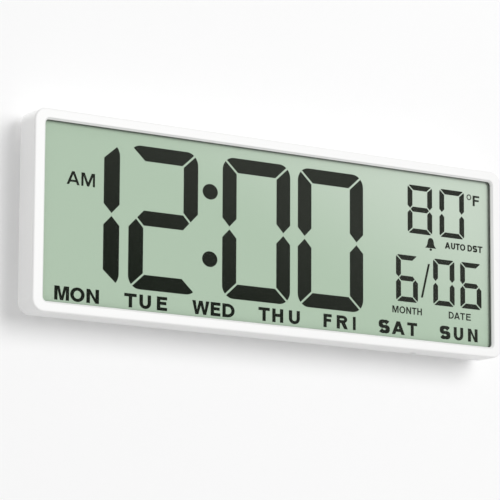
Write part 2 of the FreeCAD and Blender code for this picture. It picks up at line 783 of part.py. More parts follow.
def add_leg_pockets(body):
    """The two pockets that the stand legs fold into, with holes for their pins."""
    blocks = front_sketch(body, "pocket_blocks", POCKET_FLOOR + " - pocket_wall")
    rooms = front_sketch(body, "pocket_rooms", POCKET_FLOOR)
    grips = front_sketch(body, "pocket_grips", "case_depth - pocket_grip_depth")
    centre = "(" + POCKET_LOW + " + " + POCKET_HIGH + ") / 2"
    for side in ("-1", "1"):
        x = side + " * " + LEG_PLACE
        add_rectangle(blocks, "leg_width + 2 * fit_gap + 2 * pocket_wall",
                      POCKET_LENGTH + " + 2 * pocket_wall", x, centre)
        add_rectangle(rooms, "leg_width + 2 * fit_gap", POCKET_LENGTH, x, centre)
        add_circle(grips, "pocket_grip", x, POCKET_HIGH)
    pad_back(body, "pocket_pads", blocks,
             "case_depth - cover_wall / 2 - (" + POCKET_FLOOR + " - pocket_wall)")
    cut(body, "pocket_cuts", rooms, "case_depth - " + POCKET_FLOOR + " + cut_past")
    cut(body, "pocket_grip_cuts", grips, "pocket_grip_depth + cut_past")
    holes = body.newObject("Sketcher::SketchObject", "pin_holes")
    holes.AttachmentSupport = [(plane_of(body, "YZ_Plane"), "")]
    holes.MapMode = "FlatFace"
    bind(holes, "AttachmentOffset.Base.z",
         LEG_PLACE + " + leg_width / 2 + fit_gap + pocket_wall")
    add_circle(holes, "pin_radius + pin_hold_gap", HINGE_DEPTH + " - case_depth / 2",
               "leg_hinge_height")
    cut(body, "pin_hole_cuts", holes,
        "2 * " + LEG_PLACE + " + leg_width + 2 * fit_gap + 2 * pocket_wall")


def add_screw_posts(body):
    """Posts that meet the inner bosses, with deep seats for the screw heads."""
    posts = front_sketch(body, "cover_posts", "boss_end + fit_gap / 2")
    seats = front_sketch(body, "screw_seats", "case_depth - counterbore_depth")
    holes = front_sketch(body, "screw_holes", "boss_end - cut_past")
    for x, z in screw_places():
        add_circle(posts, "post_radius", x, z)
        add_circle(seats, "screw_head_radius + fit_gap", x, z)
        add_circle(holes, "screw_radius + fit_gap", x, z)
    pad_back(body, "cover_post_pads", posts,
             "case_depth - cover_wall / 2 - boss_end - fit_gap / 2")
    cut(body, "screw_seat_cuts", seats, "counterbore_depth + cut_past")
    cut(body, "screw_hole_cuts", holes, "case_depth - boss_end + 2 * cut_past")


BUTTONS = ("time_button", "calendar_button", "alarm_button", "up_button", "down_button")


def button_place(step):
    """The X of a button, counted from the left end of the row as seen from the front."""
    return "(%d - %d / 2) * button_spacing" % (step, len(BUTTONS) - 1)


def add_cover_holes(body):
    """Button holes, sound holes and the two keyholes."""
    through = "cover_wall + 2 * cut_past"
    start = "case_depth - cover_wall - cut_past"
    buttons = front_sketch(body, "button_holes", start)
    for step in range(len(BUTTONS)):
        add_circle(buttons, "button_radius + fit_gap", button_place(step), BUTTON_HEIGHT)
    cut(body, "button_hole_cuts", buttons, through)
    sound = front_sketch(body, "sound_holes", start)
    for across in (-1, 0, 1):
        for up in (-1, 0, 1):
            add_circle(sound, "sound_hole_radius",
                       "sounder_place + %d * sound_hole_pitch" % across,
                       BUTTON_HEIGHT + " + %d * sound_hole_pitch" % up)
    cut(body, "sound_hole_cuts", sound, through)
    entries = front_sketch(body, "keyhole_entries", start)
    slots = front_sketch(body, "keyhole_slots", start)
    ends = front_sketch(body, "keyhole_ends", start)
    for side in ("-1", "1"):
        x = side + " * keyhole_spread / 2"
        add_circle(entries, "keyhole_radius", x, KEYHOLE_HEIGHT)
        add_rectangle(slots, "keyhole_slot", "keyhole_rise", x,
                      KEYHOLE_HEIGHT + " + keyhole_rise / 2")
        add_circle(ends, "keyhole_slot / 2", x, KEYHOLE_HEIGHT + " + keyhole_rise")
    cut(body, "keyhole_entry_cuts", entries, through)
    cut(body, "keyhole_slot_cuts", slots, through)
    cut(body, "keyhole_end_cuts", ends, through)


def battery_door():
    """The door over the cells: a flush plate with two tabs under its lower edge."""
    body = new_body("battery_door_body")
    sheet_face = front_sketch(body, "door_outline", WELL_BACK + " + door_gap")
    add_rectangle(sheet_face, DOOR_WIDTH, DOOR_LENGTH, "0", WELL_MIDDLE)
    pad_back(body, "door_pad", sheet_face, "cover_wall - door_gap")
    webs = front_sketch(body, "door_webs", WELL_BACK + " - door_tab_gap - door_tab_thickness")
    tabs = front_sketch(body, "door_tabs", WELL_BACK + " - door_tab_gap - door_tab_thickness")
    edge = "(" + WELL_MIDDLE + " - " + DOOR_LENGTH + " / 2 - fit_gap)"
    inside = "(well_ledge + fit_gap)"
    for side in ("-1", "1"):
        x = side + " * " + TAB_PLACE
        add_rectangle(webs, "door_tab_width", "door_web", x,
                      edge + " + " + inside + " + door_web_inset + door_web / 2")
        add_rectangle(tabs, "door_tab_width",
                      "door_tab_reach + " + inside + " + door_tab_inset", x,
                      edge + " + (" + inside + " + door_tab_inset - door_tab_reach) / 2")
    pad_back(body, "web_pads", webs,
             "door_tab_gap + door_tab_thickness + door_gap + root_depth")
    pad_back(body, "tab_pads", tabs, "door_tab_thickness")
    ribs = front_sketch(body, "door_ribs", "case_depth - door_groove_depth")
    top_groove = WELL_MIDDLE + " + " + DOOR_LENGTH + " / 2 - door_groove_inset"
    for step in range(int(size("door_groove_count"))):
        add_rectangle(ribs, "door_groove_length", "door_groove_width", "0",
                      top_groove + " - %d * door_groove_pitch" % step)
    cut(body, "door_grooves", ribs, "door_groove_depth + cut_past")
    return keep(body, "battery_door")


def battery_parts():
    """Four cells side by side, turned about by turns, with springs and contact plates."""
    cells = []
    springs = []
    plates = []
    floor = WELL_LOW + " + well_wall"
    depth = CELL_DEPTH + " " + FRONT
    count = int(size("cell_count"))
    for number in range(count):
        x = "(%s) * (2 * cell_radius + cell_gap)" % (number - (count - 1) / 2)
        flipped = number % 2 == 1
        name = "cell_%d" % number
        if flipped:
            body_low = floor + " + contact_thickness + cell_nub"
            nub_low = floor + " + contact_thickness"
            spring_low = body_low + " + cell_length"
            spring_radii = ("spring_small", "spring_big")
        else:
            body_low = floor + " + contact_thickness + spring_length"
            nub_low = body_low + " + cell_length - root_depth"
            spring_low = floor + " + contact_thickness"
            spring_radii = ("spring_big", "spring_small")
        can = rod(name + "_can", "cell_radius", "cell_length", (x, depth, body_low), UPRIGHT)
        nub = rod(name + "_nub", "cell_nub_radius", "cell_nub + root_depth",
                  (x, depth, nub_low), UPRIGHT)
        cells.append(joined(name, can, nub))
        spring = doc.addObject("Part::Cone", name + "_spring")
        bind(spring, "Radius1", spring_radii[0])
        bind(spring, "Radius2", spring_radii[1])
        bind(spring, "Height", "spring_length")
        for axis, text in zip("xyz", (x, depth, spring_low)):
            bind(spring, "Placement.Base." + axis, text)
        springs.append(spring)
        for end in (floor, floor + " + " + WELL_LENGTH + " - contact_thickness"):
            plates.append(block("%s_contact_%d" % (name, len(plates)),
                                ("contact_width", "contact_width", "contact_thickness"),
                                (x + " - contact_width / 2", depth + " - contact_width / 2",
                                 end)))
    keep(group("cell_group", cells), "battery_cells")
    keep(group("spring_group", springs), "battery_springs")
    keep(group("contact_group", plates), "battery_contacts")


def screw(name, x, z, seat, length, head, head_radius):
    """A pan-head screw whose head stands on the seat and has a crossed slot."""
    head_part = rod(name + "_head", head_radius, head,
                    (x, "(" + seat + ") " + FRONT, z), TO_BACK)
    shank = rod(name + "_shank", "screw_radius", length + " + root_depth",
                (x, "(" + seat + ") - (" + length + ") " + FRONT, z), TO_BACK)
    body = joined(name + "_body", head_part, shank)
    arm = head_radius + " * cross_share"
    top = "(" + seat + ") + " + head + " * cross_start " + FRONT
    slot_a = block(name + "_slot_a", ("2 * " + arm, head, "screw_slot"),
                   (x + " - " + arm, top, z + " - screw_slot / 2"))
    slot_b = block(name + "_slot_b", ("screw_slot", head, "2 * " + arm),
                   (x + " - screw_slot / 2", top, z + " - " + arm))
    return less(name, body, joined(name + "_cross", slot_a, slot_b))


def screws():
    """Six screws that hold the cover and four that hold the board."""
    cover = []
    seat = "case_depth - counterbore_depth"
    for number, (x, z) in enumerate(screw_places()):
        cover.append(screw("cover_screw_%d" % number, x, z, seat, "screw_length",
                           "screw_head", "screw_head_radius"))
    keep(group("cover_screw_group", cover), "cover_screws")
    board = []
    for number, (x, z) in enumerate(board_screw_places()):
        board.append(screw("board_screw_%d" % number, x, z, BOARD_BACK,
                           "board_thickness + board_screw_length - screw_tip_gap",
                           "screw_head", "screw_head_radius"))
    keep(group("board_screw_group", board), "board_screws")


def electronics():
    """The main board with its strip, chip, crystal, capacitors, sounder and sensor."""
    board = block("board_sheet", (BOARD_WIDTH, "board_thickness", BOARD_HEIGHT),
                  ("- " + BOARD_WIDTH + " / 2", BOARD_FRONT + " " + FRONT, "board_low"))
    holes = []
    for number, (x, z) in enumerate(board_screw_places()):
        holes.append(rod("board_hole_%d" % number, "screw_radius + fit_gap",
                         "board_thickness + 2 * cut_past",
                         (x, BOARD_FRONT + " - cut_past " + FRONT, z), TO_BACK))
    keep(less("board_drilled", board, group("board_hole_group", holes)), "main_board")
    ledge = MIDDLE + " - " + GLASS_HEIGHT + " / 2"
    keep(block("contact_strip_block",
               (STRIP_LENGTH, "(" + BOARD_FRONT + ") - (" + SEGMENT_FRONT + ")", "strip_width"),
               ("- " + STRIP_LENGTH + " / 2", SEGMENT_FRONT + " " + FRONT,
                ledge + " + fit_gap * 3 / 2")), "contact_strip")
    chip = doc.addObject("Part::Cylinder", "chip_drop")
    chip.Placement = FreeCAD.Placement(FreeCAD.Vector(), TO_BACK)
    bind(chip, "Radius", "chip_radius")
    bind(chip, "Height", "chip_height")
    bind(chip, "Placement.Base.x", "chip_place")
    bind(chip, "Placement.Base.y", BOARD_BACK + " " + FRONT)
    bind(chip, "Placement.Base.z", BOARD_MIDDLE)
    doc.recompute()
    dome = doc.addObject("Part::Fillet", "chip_dome")
    dome.Base = chip
    rim = [number for number, edge in enumerate(chip.Shape.Edges, 1)
           if abs(edge.BoundBox.YMin - chip.Shape.BoundBox.YMax) < NOTHING]
    dome.Edges = [(number, size("chip_round"), size("chip_round")) for number in rim]
    keep(dome, "driver_chip")
    keep(rod("crystal_can", "crystal_radius", "crystal_length",
             ("crystal_place", BOARD_BACK + " + crystal_radius + crystal_lift " + FRONT,
              BOARD_MIDDLE + " + crystal_rise"), TO_SIDE), "clock_crystal")
    cans = []
    for number in range(int(size("capacitor_count"))):
        cans.append(rod("capacitor_%d" % number, "capacitor_radius", "capacitor_length",
                        ("capacitor_place + %d * capacitor_pitch" % number,
                         BOARD_BACK + " " + FRONT, BOARD_MIDDLE + " - capacitor_drop"), TO_BACK))
    keep(group("capacitor_group", cans), "capacitors")
    keep(rod("sounder_can", "sounder_radius", "sounder_length",
             ("sounder_place", BOARD_BACK + " " + FRONT, BUTTON_HEIGHT), TO_BACK), "sounder")
    sensor_z = "(board_low + sensor_rise)"
    leads = [rod("sensor_lead_%d" % number, "sensor_lead_radius", "sensor_reach",
                 ("sensor_place + %s * sensor_lead_spread / 2" % side,
                  BOARD_BACK + " " + FRONT, sensor_z), TO_BACK)
             for number, side in enumerate(("1", "-1"))]
    bead = doc.addObject("Part::Sphere", "sensor_bead")
    bind(bead, "Radius", "sensor_radius")
    bind(bead, "Placement.Base.x", "sensor_place")
    bind(bead, "Placement.Base.y", BOARD_BACK + " + sensor_reach " + FRONT)
    bind(bead, "Placement.Base.z", sensor_z)
    keep(joined("sensor_whole", joined("sensor_half", bead, leads[0]), leads[1]),
         "temperature_sensor")


STEM_END = "(" + BOARD_BACK + " + switch_body + plunger_rise)"
CAP_BACK = "(case_depth - button_recess)"
FLANGE_BACK = "(case_depth - cover_wall - button_slack)"


def revolved(label, profile, x, z):
    """A turned piece about an axis along Y: profile is pairs of radius and depth expressions."""
    rule = Sketcher.Constraint
    body = new_body(label + "_body")
    sketch = body.newObject("Sketcher::SketchObject", label + "_profile")
    sketch.AttachmentSupport = [(plane_of(body, "XZ_Plane"), "")]
    sketch.MapMode = "FlatFace"
    count = len(profile)
    guess = [FreeCAD.Vector(math.cos(number), math.sin(number), 0) for number in range(count + 1)]
    for here, there in zip(guess, guess[1:]):
        sketch.addGeometry(Part.LineSegment(here, there))
    for number in range(count):
        sketch.addConstraint(rule("Coincident", number, 2, (number + 1) % count, 1))
        across = sketch.addConstraint(rule("DistanceX", -1, 1, number, 1, 1))
        up = sketch.addConstraint(rule("DistanceY", -1, 1, number, 1, 1))
        bind(sketch, "Constraints[%d]" % across, profile[number][0])
        bind(sketch, "Constraints[%d]" % up, profile[number][1])
    turn = body.newObject("PartDesign::Revolution", label + "_turn")
    turn.Profile = sketch
    turn.ReferenceAxis = (sketch, ["V_Axis"])
    turn.Angle = 360
    body.Placement = FreeCAD.Placement(FreeCAD.Vector(), TO_BACK)
    bind(body, "Placement.Base.x", x)
    bind(body, "Placement.Base.y", "0 " + FRONT)
    bind(body, "Placement.Base.z", z)
    doc.recompute()
    return keep(body, label)


def buttons():
    """Five push buttons, each with its switch plunger, and the switch housings."""
    housings = []
    for step, label in enumerate(BUTTONS):
        x = button_place(step)
        flange_front = FLANGE_BACK + " - button_flange_thickness"
        profile = [("0", STEM_END), ("button_stem", STEM_END), ("button_stem", flange_front),
                   ("button_flange", flange_front), ("button_flange", FLANGE_BACK),
                   ("button_radius", FLANGE_BACK),
                   ("button_radius", CAP_BACK + " - button_round"),
                   ("button_radius - button_round", CAP_BACK),
                   ("0", CAP_BACK + " - button_dish")]
        revolved(label, profile, x, BUTTON_HEIGHT)
        foot = BOARD_BACK + " + switch_body - plunger_foot"
        plunger = rod(label + "_plunger_rod", "plunger_radius", "plunger_rise + plunger_foot",
                      (x, foot + " " + FRONT, BUTTON_HEIGHT), TO_BACK)
        keep(plunger, label.replace("button", "plunger"))
        case = block(label + "_switch_case", ("switch_side", "switch_body", "switch_side"),
                     (x + " - switch_side / 2", BOARD_BACK + " " + FRONT,
                      BUTTON_HEIGHT + " - switch_side / 2"))
        bore = rod(label + "_switch_bore", "plunger_radius + plunger_gap", "switch_body",
                   (x, foot + " - button_travel - button_slack " + FRONT, BUTTON_HEIGHT),
                   TO_BACK)
        housings.append(less(label + "_switch", case, bore))
    keep(group("switch_group", housings), "tact_switches")


def stand_legs():
    """Two legs that fold out of the back on steel pins."""
    pins = []
    for side, label in (("-1", "stand_leg_left"), ("1", "stand_leg_right")):
        x = side + " * " + LEG_PLACE
        y = HINGE_DEPTH + " " + FRONT
        slab = block(label + "_slab", ("leg_width", "leg_thickness", "leg_length"),
                     (x + " - leg_width / 2", y + " - leg_thickness / 2", "leg_hinge_height"))
        doc.recompute()
        top = slab.Shape.BoundBox.ZMax
        rounded = doc.addObject("Part::Fillet", label + "_rounded")
        rounded.Base = slab
        rims = [number for number, edge in enumerate(slab.Shape.Edges, 1)
                if edge.BoundBox.ZMin > top - NOTHING and edge.BoundBox.XLength > SHORT]
        tip = size("leg_tip_round")
        rounded.Edges = [(number, tip, tip) for number in rims]
        barrel = rod(label + "_barrel", "leg_thickness / 2", "leg_width",
                     (x + " - leg_width / 2", y, "leg_hinge_height"), TO_SIDE)
        whole = joined(label + "_whole", rounded, barrel)
        bore = rod(label + "_bore", "pin_radius + pin_gap", "leg_width + 2 * cut_past",
                   (x + " - leg_width / 2 - cut_past", y, "leg_hinge_height"), TO_SIDE)
        keep(less(label + "_drilled", whole, bore), label)
        reach = "leg_width + 2 * fit_gap + 2 * pocket_wall"
        pins.append(rod(label + "_pin", "pin_radius", reach,
                        (x + " - (" + reach + ") / 2", y, "leg_hinge_height"), TO_SIDE))
    keep(group("pin_group", pins), "stand_pins")


def check_and_write():
    """Every object has to be sound before the sub-parts are written."""
    doc.recompute()
    for item in doc.Objects:
        if "Invalid" in item.State or "Error" in item.State:
            raise RuntimeError("failed object " + item.Name)
    os.makedirs("parts", exist_ok=True)
    for item in nodes:
        shape = item.Shape
        if shape.isNull() or not shape.isValid():
            raise RuntimeError("bad shape " + item.Label)
        shape.exportStep("parts/" + item.Label + ".step")
        print(item.Label, len(shape.Solids), round(shape.Volume, 1))


front_frame()
display()
doc.recompute()
lcd_segments(doc.getObject("lcd_front_glass_sheet"))
lcd_holder()
rear_cover()
battery_door()
battery_parts()
screws()
electronics()
buttons()
stand_legs()
check_and_write()
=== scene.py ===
"""The looks of a slim wall and table day clock with a pale green display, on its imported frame."""

import math

import bmesh
import bpy
import numpy as np
from mathutils import Matrix, Vector, geometry


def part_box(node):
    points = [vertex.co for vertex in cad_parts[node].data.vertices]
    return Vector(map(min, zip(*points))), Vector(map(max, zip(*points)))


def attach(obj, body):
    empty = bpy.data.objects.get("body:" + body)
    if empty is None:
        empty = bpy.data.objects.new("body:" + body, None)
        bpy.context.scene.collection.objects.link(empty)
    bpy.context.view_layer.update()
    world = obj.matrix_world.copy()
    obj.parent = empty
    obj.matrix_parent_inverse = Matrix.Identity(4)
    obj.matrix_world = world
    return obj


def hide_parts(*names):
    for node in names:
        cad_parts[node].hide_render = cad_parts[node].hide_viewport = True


bl_info = {
    "name": "Day clock",
    "version": (1, 0, 0),
    "blender": (4, 5, 0),
    "location": "View3D > Sidebar > Day clock",
    "description": "Display figures, springs, finishes and studio for a slim day clock",
    "category": "Object",
}

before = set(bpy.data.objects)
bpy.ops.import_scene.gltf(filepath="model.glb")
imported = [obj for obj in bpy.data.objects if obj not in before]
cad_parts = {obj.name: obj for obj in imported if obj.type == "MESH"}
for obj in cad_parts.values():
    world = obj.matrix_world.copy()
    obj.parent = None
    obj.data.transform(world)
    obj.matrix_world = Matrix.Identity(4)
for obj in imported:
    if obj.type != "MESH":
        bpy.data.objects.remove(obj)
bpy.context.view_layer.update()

MM = 0.001
CASE_BODY = "case"
DISPLAY_NODE = "lcd_segments"
PANES = ("display_window", "lcd_front_polarizer", "lcd_front_glass")
DISPLAY_MIDDLE = 0.0635  # height of the window's centre above the table
DISPLAY_HALF_WIDTH = 0.174
DISPLAY_HALF_HEIGHT = 0.0565
FIGURE_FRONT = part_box(DISPLAY_NODE)[0].y
FIGURE_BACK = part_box(DISPLAY_NODE)[1].y
FIGURE_EDGE = 0.03 * MM  # how far a figure's front edge is eased
CELL_PITCH = 14.7 * MM  # from one battery cell to the next
SMOOTH_UNDER = math.radians(40.0)  # faces that meet at less look smooth


# Sizes and colours


def length(name, description, millimetres):
    """A length property whose default is given in millimetres."""
    return bpy.props.FloatProperty(
        name=name, description=description, default=millimetres * MM,
        unit="LENGTH", precision=5)


def colour(name, description, red, green, blue):
    """A colour property, linear red, green and blue."""
    return bpy.props.FloatVectorProperty(
        name=name, description=description, default=(red, green, blue),
        subtype="COLOR", min=0.0, max=1.0)


class DayClockSizes(bpy.types.PropertyGroup):
    """Sizes of what is drawn on the display and of the battery springs."""

    time_top: length("Time top", "Top of the hour and minute figures above the middle", 49.2)
    time_bottom: length("Time bottom", "Bottom of those figures, above the middle", -42.15)
    time_bar: length("Time bar", "Height of their level strokes", 9.5)
    time_gap: length("Time gap", "Gap between two strokes", 1.35)
    time_round: length("Time corner", "Radius of their outer corners", 8.5)
    small_stroke: length("Small stroke", "Width of upright strokes, small figures", 4.0)
    small_bar: length("Small bar", "Height of level strokes, small figures", 3.35)
    small_gap: length("Small gap", "Gap between two strokes, small figures", 0.85)
    small_round: length("Small corner", "Radius of outer corners, small figures", 2.2)
    word_height: length("Weekday height", "Capital height of the weekday names", 8.75)
    glazing_gap: length("Glazing gap", "Air between the glazing and the figures", 0.05)
    spring_wire: length("Spring wire", "Radius of the battery spring wire", 0.35)


class DayClockColours(bpy.types.PropertyGroup):
    """Colours of the finishes, in linear light."""

    case: colour("Case", "White moulded case", 0.868, 0.868, 0.861)
    cover: colour("Cover", "Rear cover and battery door", 0.86, 0.86, 0.855)
    leg: colour("Legs", "Fold-out legs", 0.88, 0.88, 0.875)
    key: colour("Keys", "Rear keys", 0.36, 0.37, 0.38)
    ground: colour("Display", "Green display ground at the lower left", 0.436, 0.541, 0.431)
    # The paler display colour is painted sheen, where the painted reflection is strongest
    ground_painted_sheen: colour("Display, paler", "The ground at its upper right", 0.588, 0.659, 0.581)
    figure: colour("Figures", "Display figures at the lower left", 0.0030, 0.0062, 0.0022)
    # The paler figure colour is the painted sheen on the figures
    figure_painted_sheen: colour("Figures, paler", "Figures at the upper right", 0.0235, 0.0260, 0.0210)
    board: colour("Board", "Circuit board lacquer", 0.012, 0.105, 0.040)
    steel: colour("Steel", "Plated steel", 0.58, 0.58, 0.59)
    wall: colour("Wall", "Painted wall behind the clock", 0.95, 0.95, 0.95)


# Shader expressions


class Wire:
    """One output socket of a material's nodes. Sums and products of wires add Math nodes."""

    def __init__(self, finish, socket):
        self.finish = finish
        self.socket = socket

    def joined(self, operation, first, second):
        """A Math node on two values, each a wire or a number."""
        return self.finish.node("ShaderNodeMath", {"operation": operation}, {0: first, 1: second})

    def __add__(self, other):
        return self.joined("ADD", self, other)

    def __radd__(self, other):
        return self.joined("ADD", other, self)

    def __sub__(self, other):
        return self.joined("SUBTRACT", self, other)

    def __rsub__(self, other):
        return self.joined("SUBTRACT", other, self)

    def __mul__(self, other):
        return self.joined("MULTIPLY", self, other)

    def __rmul__(self, other):
        return self.joined("MULTIPLY", other, self)

    def __truediv__(self, other):
        return self.joined("DIVIDE", self, other)

    def __mod__(self, other):
        return self.joined("FLOORED_MODULO", self, other)

    def __gt__(self, other):
        return self.joined("GREATER_THAN", self, other)

    def __lt__(self, other):
        return self.joined("LESS_THAN", self, other)


class Finish:
    """A procedural material, or the world's nodes, with one method that makes any node."""

    def __init__(self, name, block=None):
        self.block = block or bpy.data.materials.new(name)
        self.block.use_nodes = True
        self.tree = self.block.node_tree
        self.tree.nodes.clear()

    def node(self, kind, settings=None, inputs=None, output=0):
        """A node of a type, with its settings made first and then its sockets' values or links."""
        made = self.tree.nodes.new(kind)
        for name, value in (settings or {}).items():
            setattr(made, name, value)
        for key, value in (inputs or {}).items():
            if isinstance(value, Wire):
                self.tree.links.new(value.socket, made.inputs[key])
            else:
                made.inputs[key].default_value = value
        return Wire(self, made.outputs[output])

    def place(self, stretch=None):
        """Object coordinates in metres, stretched along each axis if asked."""
        start = self.node("ShaderNodeTexCoord", output="Object")
        if stretch is None:
            return start
        return self.node("ShaderNodeMapping", {}, {"Vector": start, "Scale": stretch})

    def noise(self, per_metre, detail, stretch=None, roughness=0.5):
        """Noise from 0 to 1 with so many features in a metre."""
        return self.node("ShaderNodeTexNoise", {}, {
            "Vector": self.place(stretch), "Scale": per_metre, "Detail": detail,
            "Roughness": roughness})

    def cells(self, per_metre):
        """Distance to the nearest point of a Voronoi pattern."""
        return self.node("ShaderNodeTexVoronoi", {}, {
            "Vector": self.place(), "Scale": per_metre}, output="Distance")

    def axes(self, names):
        """Object coordinates along the axes named, such as xz."""
        parts = self.node("ShaderNodeSeparateXYZ", {}, {"Vector": self.place()}).socket.node
        return [Wire(self, parts.outputs[name.upper()]) for name in names]

    def blend(self, share, first, second):
        """Two colours mixed by a share from 0 to 1. A colour is a tuple or a wire."""
        def whole(value):
            return value if isinstance(value, Wire) else (*value, 1.0)
        made = self.tree.nodes.new("ShaderNodeMix")
        made.data_type = "RGBA"
        sockets = {"Factor_Float": share, "A_Color": whole(first), "B_Color": whole(second)}
        for socket in made.inputs:
            value = sockets.get(socket.identifier)
            if isinstance(value, Wire):
                self.tree.links.new(value.socket, socket)
            elif value is not None:
                socket.default_value = value
        result = next(s for s in made.outputs if s.identifier == "Result_Color")
        return Wire(self, result)

    def bump(self, height, distance, strength):
        """A normal from a height, whose full range stands distance metres proud."""
        return self.node("ShaderNodeBump", {}, {
            "Height": height, "Distance": distance, "Strength": strength})

    def principled(self, **sockets):
        """The Principled shader. A word such as Base_Color names the socket Base Color."""
        inputs = {}
        for name, value in sockets.items():
            socket = name.replace("_", " ")
            if "Color" in socket and not isinstance(value, Wire):
                value = (*value, 1.0)
            inputs[socket] = value
        return self.node("ShaderNodeBsdfPrincipled", {}, inputs)

    def show(self, shader, kind="ShaderNodeOutputMaterial"):
        """Joins a shader to the output and gives the finished block."""
        end = self.tree.nodes.new(kind)
        self.tree.links.new(shader.socket, end.inputs["Surface"])
        return self.block


def shade(colour_now, factor):
    """A colour made darker or lighter by a factor, kept under 1."""
    return tuple(min(channel * factor, 1.0) for channel in colour_now)


def moulded_plastic(name, base, grain_per_metre, grain_height, rough, tone=0.985):
    """Moulded plastic: faint flow marks and a spark-eroded grain."""
    made = Finish(name)
    flow = made.noise(18.0, 3.0, (1.0, 1.0, 2.5))
    grain = made.noise(grain_per_metre, 2.0, roughness=0.6)
    pores = made.cells(grain_per_metre * 0.8)
    speck = made.noise(grain_per_metre * 0.5, 4.0)
    tint = made.blend(flow * 0.6 + speck * 0.4, shade(base, tone), shade(base, 2.0 - tone))
    return made.show(made.principled(
        Base_Color=tint, Roughness=rough + 0.10 * (grain - 0.5) + 0.06 * (flow - 0.5),
        Normal=made.bump(grain * 0.6 + pores * 0.4, grain_height, 0.6)))


def plated_steel(name, base, along, rough=0.32):
    """Plated steel: a drawn grain along one way, faint stains and small scratches."""
    made = Finish(name)
    drawn = made.noise(900.0, 3.0, along)
    stain = made.noise(160.0, 4.0)
    scratch = made.noise(2600.0, 1.0, (along[2], along[0], along[1]))
    tint = made.blend(stain, shade(base, 0.86), shade(base, 1.12))
    return made.show(made.principled(
        Base_Color=tint, Metallic=1.0, Roughness=rough + 0.14 * (drawn - 0.5) + 0.08 * stain,
        Normal=made.bump(drawn * 0.7 + scratch * 0.3, 0.00001, 0.5)))


def black_foam():
    """Closed-cell foam: open cut cells in dark grey."""
    made = Finish("black_foam")
    cell = made.cells(2200.0)
    tint = made.blend(cell, (0.008, 0.008, 0.008), (0.035, 0.035, 0.036))
    return made.show(made.principled(
        Base_Color=tint, Roughness=0.9, Normal=made.bump(cell, 0.0001, 0.8)))


COATED_SHARE = 0.05  # what an anti-reflection coating leaves of the glass's own mirror


def clear_glazing():
    """The window, polarising film and glass as one clear slab with a soft, faint mirror."""
    made = Finish("clear_glazing")
    passed = made.node("ShaderNodeBsdfTransparent", {}, {"Color": (0.985, 0.995, 0.985, 1.0)})
    haze = made.noise(1400.0, 2.0)
    mirrored = made.node("ShaderNodeBsdfGlossy", {}, {
        "Color": (1.0, 1.0, 1.0, 1.0), "Roughness": 0.24 + 0.03 * haze})
    fresnel = made.node("ShaderNodeFresnel", {}, {"IOR": 1.46})
    inside = made.node("ShaderNodeNewGeometry", output="Backfacing")
    share = COATED_SHARE * fresnel * (1.0 - inside)
    return made.show(made.node("ShaderNodeMixShader", {}, {0: share, 1: passed, 2: mirrored}))


# Painted sheen: a share that grows towards the display's upper right, standing in for a lamp's
# reflection
SHEEN_ACROSS_WEIGHT = 1.1
SHEEN_UPWARD_WEIGHT = 0.8


def painted_sheen_share(made, start, end):
    """A smooth share from 0 to 1, by the places across and up, each -1 to 1 over the window: it
    paints a sheen, a lamp's reflection, into colours towards the window's upper right.
    """
    x, z = made.axes("xz")
    across = SHEEN_ACROSS_WEIGHT * x / DISPLAY_HALF_WIDTH
    upward = SHEEN_UPWARD_WEIGHT * (z - DISPLAY_MIDDLE) / DISPLAY_HALF_HEIGHT
    rise = (across + upward) * 0.5
    return made.node("ShaderNodeMapRange", {"interpolation_type": "SMOOTHSTEP"}, {
        "Value": rise, "From Min": start, "From Max": end})


def display_ground(base, paler):
    """The display's green ground with a fine tooth, and a painted sheen that makes it paler towards
    its upper right.
    """
    made = Finish("display_ground")
    cloud = made.noise(14.0, 3.0)
    tooth = made.noise(5200.0, 2.0)
    # Paler towards the upper right: painted sheen, a lamp's reflection painted into the colour
    tint = made.blend(
        painted_sheen_share(made, -0.1, 0.9) + 0.05 * (cloud - 0.5) + 0.05 * (tooth - 0.5), base, paler)
    return made.show(made.principled(
        Base_Color=tint, Roughness=0.55 + 0.1 * (tooth - 0.5), Specular_IOR_Level=0.2,
        Normal=made.bump(tooth, 0.000004, 0.5)))


def silver_film():
    """The reflector: a brushed silver-green film."""
    made = Finish("silver_film")
    brushed = made.noise(700.0, 3.0, (0.05, 1.0, 1.0))
    tint = made.blend(brushed, (0.50, 0.56, 0.50), (0.64, 0.70, 0.63))
    return made.show(made.principled(
        Base_Color=tint, Metallic=0.8, Roughness=0.35 + 0.15 * (brushed - 0.5)))


def dark_figure(base, paler):
    """A switched-on display figure: near black with a green cast, paler towards the upper right as
    the ground is, by the same painted sheen.
    """
    made = Finish("dark_figure")
    cloud = made.noise(30.0, 2.0)
    film = made.noise(3800.0, 2.0)
    # Paler towards the upper right: painted sheen, a lamp's reflection painted into the colour
    tint = made.blend(painted_sheen_share(made, -0.7, 0.4) + 0.2 * (cloud - 0.5), base, paler)
    return made.show(made.principled(
        Base_Color=tint, Roughness=0.6 + 0.1 * (film - 0.5), Specular_IOR_Level=0.03))


